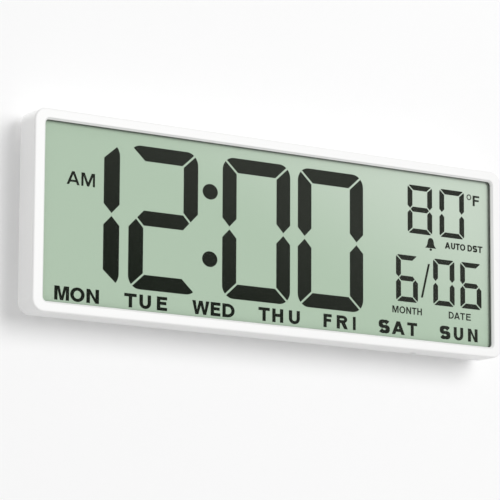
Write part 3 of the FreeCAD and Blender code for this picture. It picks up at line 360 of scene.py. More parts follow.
def cell_jacket():
    """Battery cell: dark sleeve, copper-coloured band by the positive end, steel ends."""
    foot = 59.4 * MM  # height of the lower end of an upright cell
    drop = 5.0 * MM  # how much lower a turned cell lies
    cell_length = 50.2 * MM
    band_start, band_end = 0.70, 0.955  # shares of the length from the negative end
    sleeve_start, sleeve_end = 0.018, 0.968
    made = Finish("cell_jacket")
    x, z = made.axes("xz")
    column = made.node("ShaderNodeMath", {"operation": "FLOOR"}, {
        0: (x + 2.0 * CELL_PITCH) / CELL_PITCH})
    turned = column % 2.0  # every second cell has its positive end at the bottom
    up = (z - (foot - drop * turned)) / cell_length
    place = up * (1.0 - turned) + (1.0 - up) * turned
    band = (place > band_start) * (place < band_end)
    ends = 1.0 - (place > sleeve_start) * (place < sleeve_end)
    sheen = made.noise(1200.0, 2.0, (1.0, 1.0, 0.1))
    sleeve = made.blend(sheen, (0.018, 0.019, 0.022), (0.030, 0.031, 0.036))
    copper = made.blend(sheen, (0.42, 0.20, 0.075), (0.52, 0.26, 0.10))
    wrapped = made.blend(band, sleeve, copper)
    metal = made.blend(sheen, (0.55, 0.55, 0.54), (0.68, 0.68, 0.66))
    return made.show(made.principled(
        Base_Color=made.blend(ends, wrapped, metal), Metallic=ends, Roughness=0.30 + 0.12 * sheen,
        Normal=made.bump(sheen, 0.00001, 0.4)))


def circuit_board(base):
    """Circuit board: green lacquer over copper tracks in a square layout, with tinned pads whose
    holes are painted near black as shade.
    """
    pad_reach, hole_shade_reach = 0.14, 0.06  # distances in the pad pattern
    made = Finish("circuit_board")
    x, z = made.axes("xz")
    track = made.node("ShaderNodeTexBrick", {"offset": 0.37, "squash": 1.4}, {
        "Vector": made.node("ShaderNodeCombineXYZ", {}, {0: x, 1: z}), "Scale": 130.0,
        "Mortar Size": 0.022, "Mortar Smooth": 0.2, "Brick Width": 0.62, "Row Height": 0.21},
        output="Fac")
    ring = made.cells(210.0)
    weave = made.noise(1500.0, 2.0, (1.0, 1.0, 0.4))
    lacquer = made.blend(weave, shade(base, 0.85), shade(base, 1.2))
    over_copper = made.blend(weave, shade(base, 1.7), shade(base, 2.1))
    lacquered = made.blend(track, lacquer, over_copper)
    tinned = made.blend(ring < pad_reach, lacquered, (0.62, 0.61, 0.58))
    # The pads' holes: painted shade, near black where the hole's inside would be dark
    holes_painted_dark = made.blend(ring < hole_shade_reach, tinned, (0.02, 0.02, 0.018))
    return made.show(made.principled(
        Base_Color=holes_painted_dark, Roughness=0.34 + 0.1 * weave, Coat_Weight=0.3,
        Normal=made.bump(track * 0.7 + weave * 0.1, 0.00003, 0.6)))


def contact_rubber():
    """Contact strip: thin black carbon layers between pale silicone layers, side by side."""
    layer_pitch = 0.4 * MM
    made = Finish("contact_rubber")
    [x] = made.axes("x")
    layer = ((x / layer_pitch) % 1.0) > 0.5
    dust = made.noise(3000.0, 2.0)
    pale = made.blend(dust, (0.30, 0.26, 0.25), (0.38, 0.33, 0.31))
    tint = made.blend(layer, pale, (0.02, 0.02, 0.022))
    return made.show(made.principled(Base_Color=tint, Roughness=0.7 + 0.1 * (dust - 0.5)))


def dull_resin(name, low, high, grain_per_metre, rough):
    """Dark moulding or resin: fine grain and slightly uneven gloss."""
    made = Finish(name)
    grain = made.noise(grain_per_metre, 3.0)
    wide = made.noise(grain_per_metre * 0.08, 3.0)
    tint = made.blend(grain * 0.5 + wide * 0.5, low, high)
    return made.show(made.principled(
        Base_Color=tint, Roughness=rough + 0.15 * (grain - 0.5),
        Normal=made.bump(grain, 0.00002, 0.6)))


def capacitor_sleeve():
    """Capacitor: dark sleeve with a pale polarity stripe, and a bare metal top."""
    top_start = 2.85 * MM  # depth behind which the bare top lies
    stripe_top = 18.8 * MM
    made = Finish("capacitor_sleeve")
    y, z = made.axes("yz")
    grain = made.noise(2500.0, 2.0)
    top = y > top_start
    stripe = (z < stripe_top) * (1.0 - top)
    sleeve = made.blend(grain, (0.016, 0.018, 0.03), (0.028, 0.03, 0.045))
    striped = made.blend(stripe, sleeve, (0.45, 0.45, 0.46))
    return made.show(made.principled(
        Base_Color=made.blend(top, striped, (0.70, 0.70, 0.70)), Metallic=top,
        Roughness=0.32 + 0.12 * grain))


def painted_wall(name, base):
    """Wall paint that shows from its front and is clear from behind."""
    made = Finish(name)
    roller = made.noise(240.0, 4.0)
    wide = made.noise(1.6, 2.0)
    tint = made.blend(wide, shade(base, 0.995), shade(base, 1.005))
    paint = made.principled(
        Base_Color=tint, Roughness=0.9, Specular_IOR_Level=0.1,
        Normal=made.bump(roller, 0.00001, 0.3))
    clear = made.node("ShaderNodeBsdfTransparent", {}, {"Color": (1.0, 1.0, 1.0, 1.0)})
    behind = made.node("ShaderNodeNewGeometry", output="Backfacing")
    return made.show(made.node("ShaderNodeMixShader", {}, {0: behind, 1: paint, 2: clear}))


# Shapes


def outline_plate(loops, front, back, edge):
    """A thin plate: its closed outlines in x and z are carried from front to back in y.

    The first outline is the rim and any others are holes. Each gives three rings of the same
    points: pulled in by edge at the front, as it is edge behind that, and as it is at the back.
    Front and back are filled with triangles between the rims.
    """
    points, faces, filled, start = [], [], [], 0
    for number, outline in enumerate(loops):
        centre = outline.mean(axis=0)
        reach = np.linalg.norm(outline - centre, axis=1, keepdims=True)
        way = -1.0 if number == 0 else 1.0
        eased = outline + way * (outline - centre) / np.maximum(reach, edge) * edge
        count = len(outline)
        for flat, depth in ((eased, front), (outline, front + edge), (outline, back)):
            points.append(np.column_stack([flat[:, 0], np.full(count, depth), flat[:, 1]]))
        step = np.arange(count)
        after = (step + 1) % count
        faces += np.concatenate([
            start + np.column_stack([
                step + ring * count, step + (ring + 1) * count,
                after + (ring + 1) * count, after + ring * count])
            for ring in range(2)]).tolist()
        filled.append((eased, start, start + 2 * count))
        start += 3 * count
    names = np.concatenate([first + np.arange(len(flat)) for flat, first, last in filled])
    behind = np.concatenate([last + np.arange(len(flat)) for flat, first, last in filled])
    corners = np.array(geometry.tessellate_polygon([flat.tolist() for flat, *rest in filled]))
    faces += names[corners].tolist() + behind[corners[:, ::-1]].tolist()
    return np.concatenate(points), faces


def carried_ring(radii, depths, centre, steps=48):
    """A closed section of radius and depth values carried round a circle in x and z."""
    turn = np.linspace(0.0, 2.0 * math.pi, steps, endpoint=False)[:, None]
    radii = np.array(radii)
    points = np.stack(np.broadcast_arrays(
        centre[0] + radii * np.cos(turn), np.array(depths), centre[1] + radii * np.sin(turn)),
        axis=2)
    return points.reshape(-1, 3), grid_faces(steps, len(radii), True, True)


def grid_faces(rows, columns, rows_close, columns_close):
    """Four-sided faces between the points of a grid of rows and columns, closed round or open."""
    row = np.arange(rows if rows_close else rows - 1)[:, None]
    column = np.arange(columns if columns_close else columns - 1)[None, :]
    next_row = (row + 1) % rows
    next_column = (column + 1) % columns
    faces = np.stack([
        row * columns + column, row * columns + next_column,
        next_row * columns + next_column, next_row * columns + column], axis=2)
    return faces.reshape(-1, 4).tolist()


def wire_along(path, wire_radius, around=12):
    """A round wire: a circle carried along a path, in the plane square to it, with flat ends."""
    ahead = np.gradient(path, axis=0)
    ahead /= np.linalg.norm(ahead, axis=1, keepdims=True)
    side = np.cross(ahead, np.array([0.0, 0.0, 1.0]))
    side /= np.linalg.norm(side, axis=1, keepdims=True)
    up = np.cross(side, ahead)
    turn = np.linspace(0.0, 2.0 * math.pi, around, endpoint=False)[None, :, None]
    points = path[:, None, :] + wire_radius * (
        np.cos(turn) * side[:, None, :] + np.sin(turn) * up[:, None, :])
    faces = grid_faces(len(path), around, False, True)
    last = (len(path) - 1) * around
    caps = [list(range(around)), list(range(last, last + around))]
    return points.reshape(-1, 3), faces + caps


def rounded_box(left, right, bottom, top, radius, steps=10):
    """The outline of a box with quarter-circle corners, going left round as seen from the front."""
    turn = np.linspace(0.0, 0.5 * math.pi, steps)
    corners = (
        (right - radius, bottom + radius, -0.5), (right - radius, top - radius, 0.0),
        (left + radius, top - radius, 0.5), (left + radius, bottom + radius, 1.0))
    return np.concatenate([
        np.column_stack([
            x + radius * np.cos(turn + start * math.pi),
            z + radius * np.sin(turn + start * math.pi)])
        for x, z, start in corners])


def cut_outline(outline, point, inward):
    """The part of a closed outline on one side of the line through point, square to inward."""
    height = (outline - np.asarray(point)) @ np.asarray(inward)
    following = np.roll(height, -1)
    share = height / np.where(height == following, 1.0, height - following)
    crossing = outline + share[:, None] * (np.roll(outline, -1, axis=0) - outline)
    both = np.stack([outline, crossing], axis=1)
    kept = np.column_stack([height >= 0.0, (height >= 0.0) != (following >= 0.0)])
    return both[kept]


def segment_outlines(box, stroke, bar, gap, radius, middle):
    """The seven outlines of a figure, named a to g as on any display.

    Each is the figure's rounded box cut by lines: along its inner side, and along a mitre at
    each end that runs from the inner corner to the outer one, half the gap away from it.
    """
    left, right, bottom, top = box
    whole = rounded_box(left, right, bottom, top, radius)
    tilt = np.array([stroke, bar]) / math.hypot(stroke, bar)
    half = gap / 2.0
    centre = (left + right) / 2.0
    found = {}

    def corner_line(x_way, z_way, keep_level):
        """A point and inward direction of the mitre at one corner of the box."""
        corner = np.array([right if x_way > 0 else left, top if z_way > 0 else bottom])
        inward = np.array([-x_way * tilt[1], z_way * tilt[0]])
        inward = inward if keep_level else -inward
        return corner + inward * half, inward

    def middle_lines(x_way, z_way):
        """The two lines of the point in which an upright stroke ends beside the middle bar."""
        apex = np.array([centre + x_way * ((right - left) / 2.0 - stroke / 2.0),
                         middle + z_way * half * math.sqrt(2.0)])
        slope = math.sqrt(0.5)
        return [(apex, np.array([way * slope, z_way * slope])) for way in (1.0, -1.0)]

    for name, z_way in (("a", 1.0), ("d", -1.0)):
        level = top - bar if z_way > 0 else bottom + bar
        shape = cut_outline(whole, (centre, level), (0.0, z_way))
        for x_way in (1.0, -1.0):
            shape = cut_outline(shape, *corner_line(x_way, z_way, True))
        found[name] = shape
    for name, x_way, z_way in (("b", 1, 1), ("c", 1, -1), ("e", -1, -1), ("f", -1, 1)):
        inner = right - stroke if x_way > 0 else left + stroke
        shape = cut_outline(whole, (inner, middle), (float(x_way), 0.0))
        shape = cut_outline(shape, *corner_line(x_way, z_way, False))
        for line in middle_lines(x_way, z_way):
            shape = cut_outline(shape, *line)
        found[name] = shape
    tip = (right - left) / 2.0 - stroke / 2.0 - half * math.sqrt(2.0)
    high = bar / 2.0
    flat = tip - high
    found["g"] = np.array([
        (centre - tip, middle), (centre - flat, middle - high), (centre + flat, middle - high),
        (centre + tip, middle), (centre + flat, middle + high), (centre - flat, middle + high)])
    return found


LIT = {"0": "abcdef", "1": "bc", "2": "abged", "6": "afgedc", "8": "abcdefg"}


def figure_plates(digit, box, stroke, bar, gap, radius, middle):
    """The plates of one lit figure."""
    outlines = segment_outlines(box, stroke, bar, gap, radius, middle)
    return [display_plate(outlines[name]) for name in LIT[digit]]


def display_plate(*outlines):
    """A plate in the figure layer, from a rim and any holes about the window's middle."""
    raised = [outline + np.array([0.0, DISPLAY_MIDDLE]) for outline in outlines]
    return outline_plate(raised, FIGURE_FRONT, FIGURE_BACK, FIGURE_EDGE)


def joined_parts(parts):
    """Several sets of points and faces as one."""
    points, faces, start = [], [], 0
    for part_points, part_faces in parts:
        points.append(part_points)
        faces.extend([[index + start for index in face] for face in part_faces])
        start += len(part_points)
    return np.concatenate(points), faces


def piece_from(name, parts, material):
    """A piece whose mesh is these parts, closed, with its faces outward."""
    points, faces = joined_parts(parts)
    mesh = bpy.data.meshes.new(name)
    mesh.from_pydata(points.tolist(), [], faces)
    shell = bmesh.new()
    shell.from_mesh(mesh)
    bmesh.ops.remove_doubles(shell, verts=shell.verts, dist=1e-7)
    bmesh.ops.recalc_face_normals(shell, faces=shell.faces)
    shell.to_mesh(mesh)
    shell.free()
    mesh.polygons.foreach_set("use_smooth", [True] * len(mesh.polygons))
    mesh.set_sharp_from_angle(angle=SMOOTH_UNDER)
    mesh.materials.append(material)
    made = bpy.data.objects.new(name, mesh)
    bpy.context.scene.collection.objects.link(made)
    return made


def on_display(name, parts):
    """A display figure: a piece in the figure layer that rides on the case."""
    made = piece_from(name, parts, bpy.data.materials["dark_figure"])
    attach(made, CASE_BODY)
    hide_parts(DISPLAY_NODE)


def arc(centre_x, centre_z, reach_x, reach_z, start, end, steps=14):
    """Points of an ellipse from one angle to another, in degrees."""
    turn = np.radians(np.linspace(start, end, steps))
    return np.column_stack([centre_x + reach_x * np.cos(turn), centre_z + reach_z * np.sin(turn)])


def ellipse(centre_x, centre_z, reach_x, reach_z, steps):
    """Points of a whole ellipse, left round from its right end."""
    return arc(centre_x, centre_z, reach_x, reach_z, 0.0, 360.0 - 360.0 / steps, steps)


def broad_line(path, across, up):
    """The outline of a line along a path, across wide where it climbs and up high where level."""
    ahead = np.gradient(path, axis=0)
    ahead /= np.linalg.norm(ahead, axis=1, keepdims=True)
    square = np.column_stack([-ahead[:, 1], ahead[:, 0]])
    half = 0.5 * np.abs(square) @ np.array([across, up])
    return np.concatenate([path + square * half[:, None], (path - square * half[:, None])[::-1]])


# Plain capitals: each gives its rim and holes, with its lower left corner at the origin


def letter_a(width, height, stem, bar):
    """Two slopes and a bar, with a three-cornered hole."""
    foot, tip, centre = 1.08 * stem, 1.12 * stem, width / 2
    lean = (centre - tip / 2) / height
    low, high = 0.20 * height, 0.20 * height + bar
    rim = [(0, 0), (foot, 0), (foot + low * lean, low), (width - foot - low * lean, low),
           (width - foot, 0), (width, 0), (centre + tip / 2, height), (centre - tip / 2, height)]
    hole = [(foot + high * lean, high), (width - foot - high * lean, high),
            (centre, (centre - foot) / lean)]
    return [rim, hole]


def letter_d(width, height, stem, bar):
    """A box that ends in half an ellipse, with a hole of the same kind."""
    centre, middle = 0.44 * width, height / 2
    reach = width - centre
    rim = [[(0, 0)], arc(centre, middle, reach, middle, -90, 90), [(0, height)]]
    hole = [[(stem, bar)], arc(centre, middle, reach - stem, middle - bar, -90, 90),
            [(stem, height - bar)]]
    return [np.concatenate(rim), np.concatenate(hole)]


def upper_bars(width, height, stem, bar):
    """The middle and top bars that E and F share."""
    low, high = 0.53 * height - bar / 2, 0.53 * height + bar / 2
    reach = 0.92 * width
    return [(stem, low), (reach, low), (reach, high), (stem, high), (stem, height - bar),
            (width, height - bar), (width, height), (0, height)]


def letter_e(width, height, stem, bar):
    """A stem with three bars."""
    foot = [(0, 0), (width, 0), (width, bar), (stem, bar)]
    return [foot + upper_bars(width, height, stem, bar)]


def letter_f(width, height, stem, bar):
    """A stem with two bars."""
    return [[(0, 0), (stem, 0)] + upper_bars(width, height, stem, bar)]


def letter_h(width, height, stem, bar):
    """Two stems and a bar."""
    low, high = 0.52 * height - bar / 2, 0.52 * height + bar / 2
    inner = width - stem
    return [[(0, 0), (stem, 0), (stem, low), (inner, low), (inner, 0), (width, 0), (width, height),
             (inner, height), (inner, high), (stem, high), (stem, height), (0, height)]]


def letter_i(width, height, stem, bar):
    """A stem as wide as the letter."""
    return [[(0, 0), (width, 0), (width, height), (0, height)]]


def letter_m(width, height, stem, bar):
    """Two stems and two slopes that meet at the foot."""
    side, tip, slope, centre = 0.92 * stem, 0.45 * stem, 1.45 * stem, width / 2
    notch = 0.76 * height
    return [[(0, 0), (side, 0), (side, notch), (centre - tip, 0), (centre + tip, 0),
             (width - side, notch), (width - side, 0), (width, 0), (width, height),
             (width - slope, height), (centre, 0.29 * height), (slope, height), (0, height)]]


def letter_n(width, height, stem, bar):
    """Two stems and a slope."""
    inner = width - stem
    return [[(0, 0), (stem, 0), (stem, 0.66 * height), (inner, 0), (width, 0), (width, height),
             (inner, height), (inner, 0.34 * height), (stem, height), (0, height)]]


def letter_o(width, height, stem, bar):
    """An ellipse within an ellipse, a little taller than the straight letters."""
    centre, middle, over, steps = width / 2, height / 2, 0.012 * height, 45
    return [ellipse(centre, middle, centre, middle + over, steps),
            ellipse(centre, middle, centre - stem, middle - bar + over, steps)]


def letter_r(width, height, stem, bar):
    """A stem with a bowl above and a slope below."""
    low, centre = 0.43 * height, 0.52 * width
    middle, half = (height + low) / 2, (height - low) / 2
    reach = 0.95 * width - centre
    rim = [[(0, 0), (stem, 0), (stem, low), (0.40 * width, low), (width - 1.15 * stem, 0),
            (width, 0)], arc(centre, middle, reach, half, -58, 90), [(0, height)]]
    hole = [[(stem, low + bar)], arc(centre, middle, reach - stem, half - bar, -90, 90),
            [(stem, height - bar)]]
    return [np.concatenate(rim), np.concatenate(hole)]


def letter_s(width, height, stem, bar):
    """A broad line along parts of two ellipses, one above the other."""
    centre, across, up = width / 2, width / 2 - stem / 2, (height - bar) / 4
    reach, steps = up * 1.02, 26
    path = np.concatenate([
        arc(centre, height - bar / 2 - up, across, reach, 22, 262, steps),
        arc(centre, bar / 2 + up, across, reach, 82, -158, steps)])
    return [broad_line(path, stem, bar)]


def letter_t(width, height, stem, bar):
    """A bar on a stem."""
    left, right, under = (width - stem) / 2, (width + stem) / 2, height - bar
    return [[(left, 0), (right, 0), (right, under), (width, under), (width, height), (0, height),
             (0, under), (left, under)]]


def letter_u(width, height, stem, bar):
    """Two stems joined below by half an ellipse."""
    centre, reach = width / 2, 0.40 * height
    return [np.concatenate([
        [(0, height)], arc(centre, reach, centre, reach, 180, 360),
        [(width, height), (width - stem, height)],
        arc(centre, reach, centre - stem, reach - bar, 360, 180), [(stem, height)]])]


def letter_w(width, height, stem, bar):
    """Four slopes that meet at two feet and a middle peak."""
    foot, peak, centre = 0.45 * stem, 0.5 * stem, width / 2
    left, right, notch = 0.27 * width, 0.73 * width, 0.33 * height
    return [[(0, height), (left - foot, 0), (left + foot, 0), (centre, 0.66 * height),
             (right - foot, 0), (right + foot, 0), (width, height), (width - stem, height),
             (right, notch), (centre + peak, height), (centre - peak, height), (left, notch),
             (stem, height)]]


LETTERS = {
    "A": letter_a, "D": letter_d, "E": letter_e, "F": letter_f, "H": letter_h, "I": letter_i,
    "M": letter_m, "N": letter_n, "O": letter_o, "R": letter_r, "S": letter_s, "T": letter_t,
    "U": letter_u, "W": letter_w}


def word_parts(letters, base, height, stem, bar):
    """The letters of a word, each given as its sign and its left and right ends."""
    parts = []
    for sign, left, right in letters:
        loops = LETTERS[sign](right - left, height, stem, bar)
        parts.append(display_plate(
            *[(np.asarray(loop, float) + (left, base)) * MM for loop in loops]))
    return parts


# Operators


class DAYCLOCK_OT_finishes(bpy.types.Operator):
    """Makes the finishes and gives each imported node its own."""

    bl_idname = "dayclock.finishes"
    bl_label = "Finishes"

    def execute(self, context):
        tints = context.scene.day_clock_colours
        steel = tuple(tints.steel)
        # Each moulding's colour, grains in a metre, their height in metres, roughness and tone
        mouldings = {
            "case_white": (tuple(tints.case), 2600.0, 0.00001, 0.36),
            "cover_white": (tuple(tints.cover), 1500.0, 0.00003, 0.48),
            "leg_white": (tuple(tints.leg), 1900.0, 0.00002, 0.42),
            "button_grey": (tuple(tints.key), 2100.0, 0.00002, 0.62, 0.93),
            "inner_plastic": ((0.72, 0.73, 0.71), 1300.0, 0.00002, 0.5),
        }
        # Each resin's darkest and palest colours, grains in a metre and roughness
        resins = {
            "black_resin": ((0.012, 0.012, 0.013), (0.022, 0.022, 0.024), 1800.0, 0.5),
            "black_moulding": ((0.018, 0.018, 0.019), (0.032, 0.032, 0.034), 1200.0, 0.42),
            "sensor_resin": ((0.09, 0.045, 0.02), (0.14, 0.07, 0.03), 900.0, 0.3),
        }
        slots = {
            "steel": plated_steel("steel", steel, (1.0, 0.2, 1.0)),
            "spring_steel": plated_steel("spring_steel", shade(steel, 1.1), (0.2, 1.0, 1.0), 0.26),
            "black_foam": black_foam(),
            "clear_window": clear_glazing(),
            "display_green": display_ground(tuple(tints.ground), tuple(tints.ground_painted_sheen)),
            "reflector": silver_film(),
            "display_dark": dark_figure(tuple(tints.figure), tuple(tints.figure_painted_sheen)),
            "cell_jacket": cell_jacket(),
            "board": circuit_board(tuple(tints.board)),
            "strip_rubber": contact_rubber(),
            "capacitor_sleeve": capacitor_sleeve(),
        }
        slots.update({name: moulded_plastic(name, *look) for name, look in mouldings.items()})
        slots.update({name: dull_resin(name, *look) for name, look in resins.items()})
        slots["film"] = slots["display_glass"] = slots["clear_window"]
        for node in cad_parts.values():
            for place in node.material_slots:
                place.material = slots[place.material.name.split(".")[0]]
        return {"FINISHED"}


class DAYCLOCK_OT_glazing(bpy.types.Operator):
    """Makes the clear slab of window, film and front glass that closes the display."""

    bl_idname = "dayclock.glazing"
    bl_label = "Display glazing"

    def execute(self, context):
        sizes = context.scene.day_clock_sizes
        low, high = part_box(PANES[0])
        corner, edge = 2.0 * MM, 0.2 * MM
        outline = rounded_box(low.x, high.x, low.z, high.z, corner)
        back = FIGURE_FRONT - sizes.glazing_gap
        made = piece_from(
            "display_glazing", [outline_plate([outline], low.y, back, edge)],
            bpy.data.materials["clear_glazing"])
        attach(made, CASE_BODY)
        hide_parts(*PANES)
        return {"FINISHED"}


# Places on the display are in millimetres to the right of the window's middle and above it

TIME_WAIST = 3.3  # middle of the time figures' middle strokes
COLON_ACROSS = -50.95
COLON_HEIGHTS = (25.15, -18.3)
COLON_REACH = (5.75, 5.0)

# Each figure's name, digit, left and right ends, how far it is raised and its upright strokes
TIME_FIGURES = (
    ("hour_tens_figure", "1", -156.0, -118.4, -0.75, 11.5),
    ("hour_units_figure", "2", -111.6, -60.2, -0.45, 10.8),
    ("minute_tens_figure", "0", -41.5, 10.9, 0.0, 10.7),
    ("minute_units_figure", "0", 17.0, 69.2, 0.0, 10.7),
)


class DAYCLOCK_OT_time(bpy.types.Operator):
    """Makes the four time figures and the colon."""

    bl_idname = "dayclock.time"
    bl_label = "Time figures"

    def execute(self, context):
        sizes = context.scene.day_clock_sizes
        for name, digit, left, right, raised, stroke in TIME_FIGURES:
            raised *= MM
            box = (left * MM, right * MM, sizes.time_bottom + raised, sizes.time_top + raised)
            on_display(name, figure_plates(
                digit, box, stroke * MM, sizes.time_bar, sizes.time_gap, sizes.time_round,
                TIME_WAIST * MM + raised))
        on_display("time_colon", [
            display_plate(ellipse(COLON_ACROSS, height, *COLON_REACH, 48) * MM)
            for height in COLON_HEIGHTS])
        return {"FINISHED"}


# Each figure's name, digit, and left, right, lower and upper ends
SMALL_FIGURES = (
    ("temperature_tens_figure", "8", 105.9, 126.3, 15.25, 47.9),
    ("temperature_units_figure", "0", 132.5, 153.3, 15.25, 47.9),
    ("month_figure", "6", 96.1, 114.1, -31.4, -0.1),
    ("day_tens_figure", "0", 126.9, 144.8, -31.4, -0.1),
    ("day_units_figure", "6", 149.7, 167.6, -31.4, -0.1),
)
SLASH_FOOT = (117.4, -27.4)
SLASH_TIP = (123.4, -4.2)
SLASH_HALF_WIDTH = 0.82


class DAYCLOCK_OT_small_figures(bpy.types.Operator):
    """Makes the temperature and date figures and the slash between month and day."""

    bl_idname = "dayclock.small_figures"
    bl_label = "Temperature and date"

    def execute(self, context):
        sizes = context.scene.day_clock_sizes
        for name, digit, left, right, bottom, top in SMALL_FIGURES:
            box = (left * MM, right * MM, bottom * MM, top * MM)
            on_display(name, figure_plates(
                digit, box, sizes.small_stroke, sizes.small_bar, sizes.small_gap,
                sizes.small_round, (bottom + top) / 2.0 * MM))
        foot, tip, aside = np.array(SLASH_FOOT), np.array(SLASH_TIP), (SLASH_HALF_WIDTH, 0.0)
        slash = np.array([foot - aside, foot + aside, tip + aside, tip - aside])
        on_display("date_slash", [display_plate(slash * MM)])
        return {"FINISHED"}


DEGREE_MIDDLE = (157.6, 44.8)
DEGREE_OUTER, DEGREE_INNER = 1.95, 1.3
BELL_MIDDLE = (125.0, -0.3)
BELL_HEIGHTS = (13.75, 13.6, 13.1, 12.2, 11.0, 9.7, 8.5, 7.7, 7.25, 6.95)
BELL_HALF_WIDTHS = (0.45, 0.95, 1.7, 2.25, 2.55, 2.75, 3.2, 3.85, 4.4, 4.45)
CLAPPER_HEIGHT = 5.65
CLAPPER_REACH = (1.0, 0.8)

# Each word's name, foot, height, stems and bars, and its letters with their left and right ends
SMALL_WORDS = (
    ("morning_mark", 18.3, 8.4, 1.6, 1.3, (("A", -156.7, -147.4), ("M", -146.2, -136.4))),
    ("auto_dst_mark", 7.65, 4.4, 1.12, 0.92, (
        ("A", 136.9, 141.4), ("U", 142.1, 145.6), ("T", 145.9, 149.6), ("O", 149.7, 154.2),
        ("D", 156.1, 160.0), ("S", 160.5, 164.3), ("T", 164.6, 168.8))),
    ("month_word", -39.4, 4.6, 0.95, 0.78, (
        ("M", 93.0, 98.0), ("O", 98.8, 103.6), ("N", 104.4, 108.4), ("T", 109.0, 112.9),
        ("H", 113.5, 117.3))),
    ("date_word", -39.4, 4.6, 0.95, 0.78, (
        ("D", 139.8, 144.0), ("A", 144.3, 149.1), ("T", 149.4, 153.6), ("E", 154.5, 158.4))),
    ("fahrenheit_mark", 39.15, 7.2, 1.7, 1.25, (("F", 160.8, 166.4),)),
)


class DAYCLOCK_OT_small_words(bpy.types.Operator):
    """Makes the morning mark, the small words, the degree mark and the alarm bell."""

    bl_idname = "dayclock.small_words"
    bl_label = "Small words and marks"

    def execute(self, context):
        for name, base, height, stem, bar, letters in SMALL_WORDS:
            on_display(name, word_parts(letters, base, height, stem, bar))
        outer, inner = DEGREE_OUTER * MM, DEGREE_INNER * MM
        across, up = DEGREE_MIDDLE
        on_display("degree_mark", [carried_ring(
            (outer, outer, inner, inner),
            (FIGURE_FRONT, FIGURE_BACK, FIGURE_BACK, FIGURE_FRONT),
            (across * MM, DISPLAY_MIDDLE + up * MM))])
        side = np.column_stack([BELL_HALF_WIDTHS, BELL_HEIGHTS])
        bell = np.concatenate([side[::-1], side * (-1.0, 1.0)]) + BELL_MIDDLE
        clapper = ellipse(BELL_MIDDLE[0], CLAPPER_HEIGHT, *CLAPPER_REACH, 24)
        on_display("alarm_bell_mark", [
            display_plate(bell * MM), display_plate(clapper * MM)])
        return {"FINISHED"}


WEEKDAY_STEM, WEEKDAY_BAR = 2.5, 1.95

# Each name's piece, foot, and its letters with their left and right ends
WEEKDAYS = (
    ("monday_word", -54.5, (("M", -164.3, -153.8), ("O", -153.0, -142.7), ("N", -141.4, -132.4))),
    ("tuesday_word", -54.5, (("T", -114.1, -105.1), ("U", -103.0, -94.5), ("E", -90.2, -82.6))),
    ("wednesday_word", -54.35, (("W", -63.9, -51.0), ("E", -50.0, -42.6), ("D", -41.1, -31.8))),
    ("thursday_word", -54.2, (("T", -13.5, -4.8), ("H", -2.8, 5.7), ("U", 10.1, 18.7))),
    ("friday_word", -54.0, (("F", 37.4, 43.9), ("R", 47.9, 56.8), ("I", 60.9, 63.1))),
    ("saturday_word", -53.8, (("S", 81.9, 90.7), ("A", 92.5, 103.1), ("T", 105.2, 113.3))),
    ("sunday_word", -53.55, (("S", 132.3, 140.9), ("U", 143.9, 151.9), ("N", 155.9, 164.1))),
)


class DAYCLOCK_OT_weekdays(bpy.types.Operator):
    """Makes the seven weekday names."""

    bl_idname = "dayclock.weekdays"
    bl_label = "Weekday names"

    def execute(self, context):
        height = context.scene.day_clock_sizes.word_height / MM
        for name, base, letters in WEEKDAYS:
            on_display(name, word_parts(letters, base, height, WEEKDAY_STEM, WEEKDAY_BAR))
        return {"FINISHED"}


SPRING_HEIGHT = 5.0
SPRING_TURNS = 5.5
SPRING_TAPER = 0.6  # narrow end's radius over the wide end's
SPRING_STEPS = 220
CLOSED_SHARE = 0.12  # share of the wire at each end that lies flat


class DAYCLOCK_OT_springs(bpy.types.Operator):
    """Makes the four conical battery springs, each a wire wound in a narrowing coil."""

    bl_idname = "dayclock.springs"
    bl_label = "Battery springs"

    def execute(self, context):
        sizes = context.scene.day_clock_sizes
        low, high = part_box("battery_springs")
        wire = sizes.spring_wire
        wide = (high.y - low.y) / 2.0 - wire
        narrow = wide * SPRING_TAPER
        centre_y = (low.y + high.y) / 2.0
        tall = SPRING_HEIGHT * MM - 2.0 * wire
        share = np.linspace(0.0, 1.0, SPRING_STEPS)
        rise = np.clip((share - CLOSED_SHARE) / (1.0 - 2.0 * CLOSED_SHARE), 0.0, 1.0)
        turn = 2.0 * math.pi * SPRING_TURNS * share
        radius = wide + (narrow - wide) * rise
        parts = []
        for column, base, way in ((-1.5, low.z, 1.0), (0.5, low.z, 1.0),
                                  (-0.5, high.z, -1.0), (1.5, high.z, -1.0)):
            path = np.column_stack([
                column * CELL_PITCH + radius * np.cos(turn), centre_y + radius * np.sin(turn),
                base + way * (wire + tall * rise)])
            parts.append(wire_along(path, wire))
        made = piece_from("battery_coils", parts, bpy.data.materials["spring_steel"])
        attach(made, CASE_BODY)
        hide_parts("battery_springs")
        return {"FINISHED"}


# The stage: a wall, a floor, lamps, sky and the camera

# The camera's place in metres, the directions to its right and up, and its lens in millimetres
CAMERA_PLACE = (-1.08896, -1.59561, -0.27922)
CAMERA_RIGHT = (0.828789, -0.559543, 0.004587)
CAMERA_UP = (-0.099856, -0.139830, 0.985128)
CAMERA_LENS = 218.608

SKY_LEVEL = 0.575
WALL_WIDTH = 5.2
WALL_HEIGHT = 3.2
WALL_GAP = 0.6 * MM  # from the rear cover to the wall
FLOOR_DEPTH = 4.0
FLOOR_HEIGHT = -0.62
FLOOR_SHADE = 0.97

# Each lamp's name, azimuth and elevation in degrees, distance and size in metres, and watts
LAMPS = (
    ("key_lamp", 18.0, 15.5, 5.0, 3.5, 130.0),
    ("rear_lamp", 172.0, 24.0, 5.0, 4.0, 100.0),
)


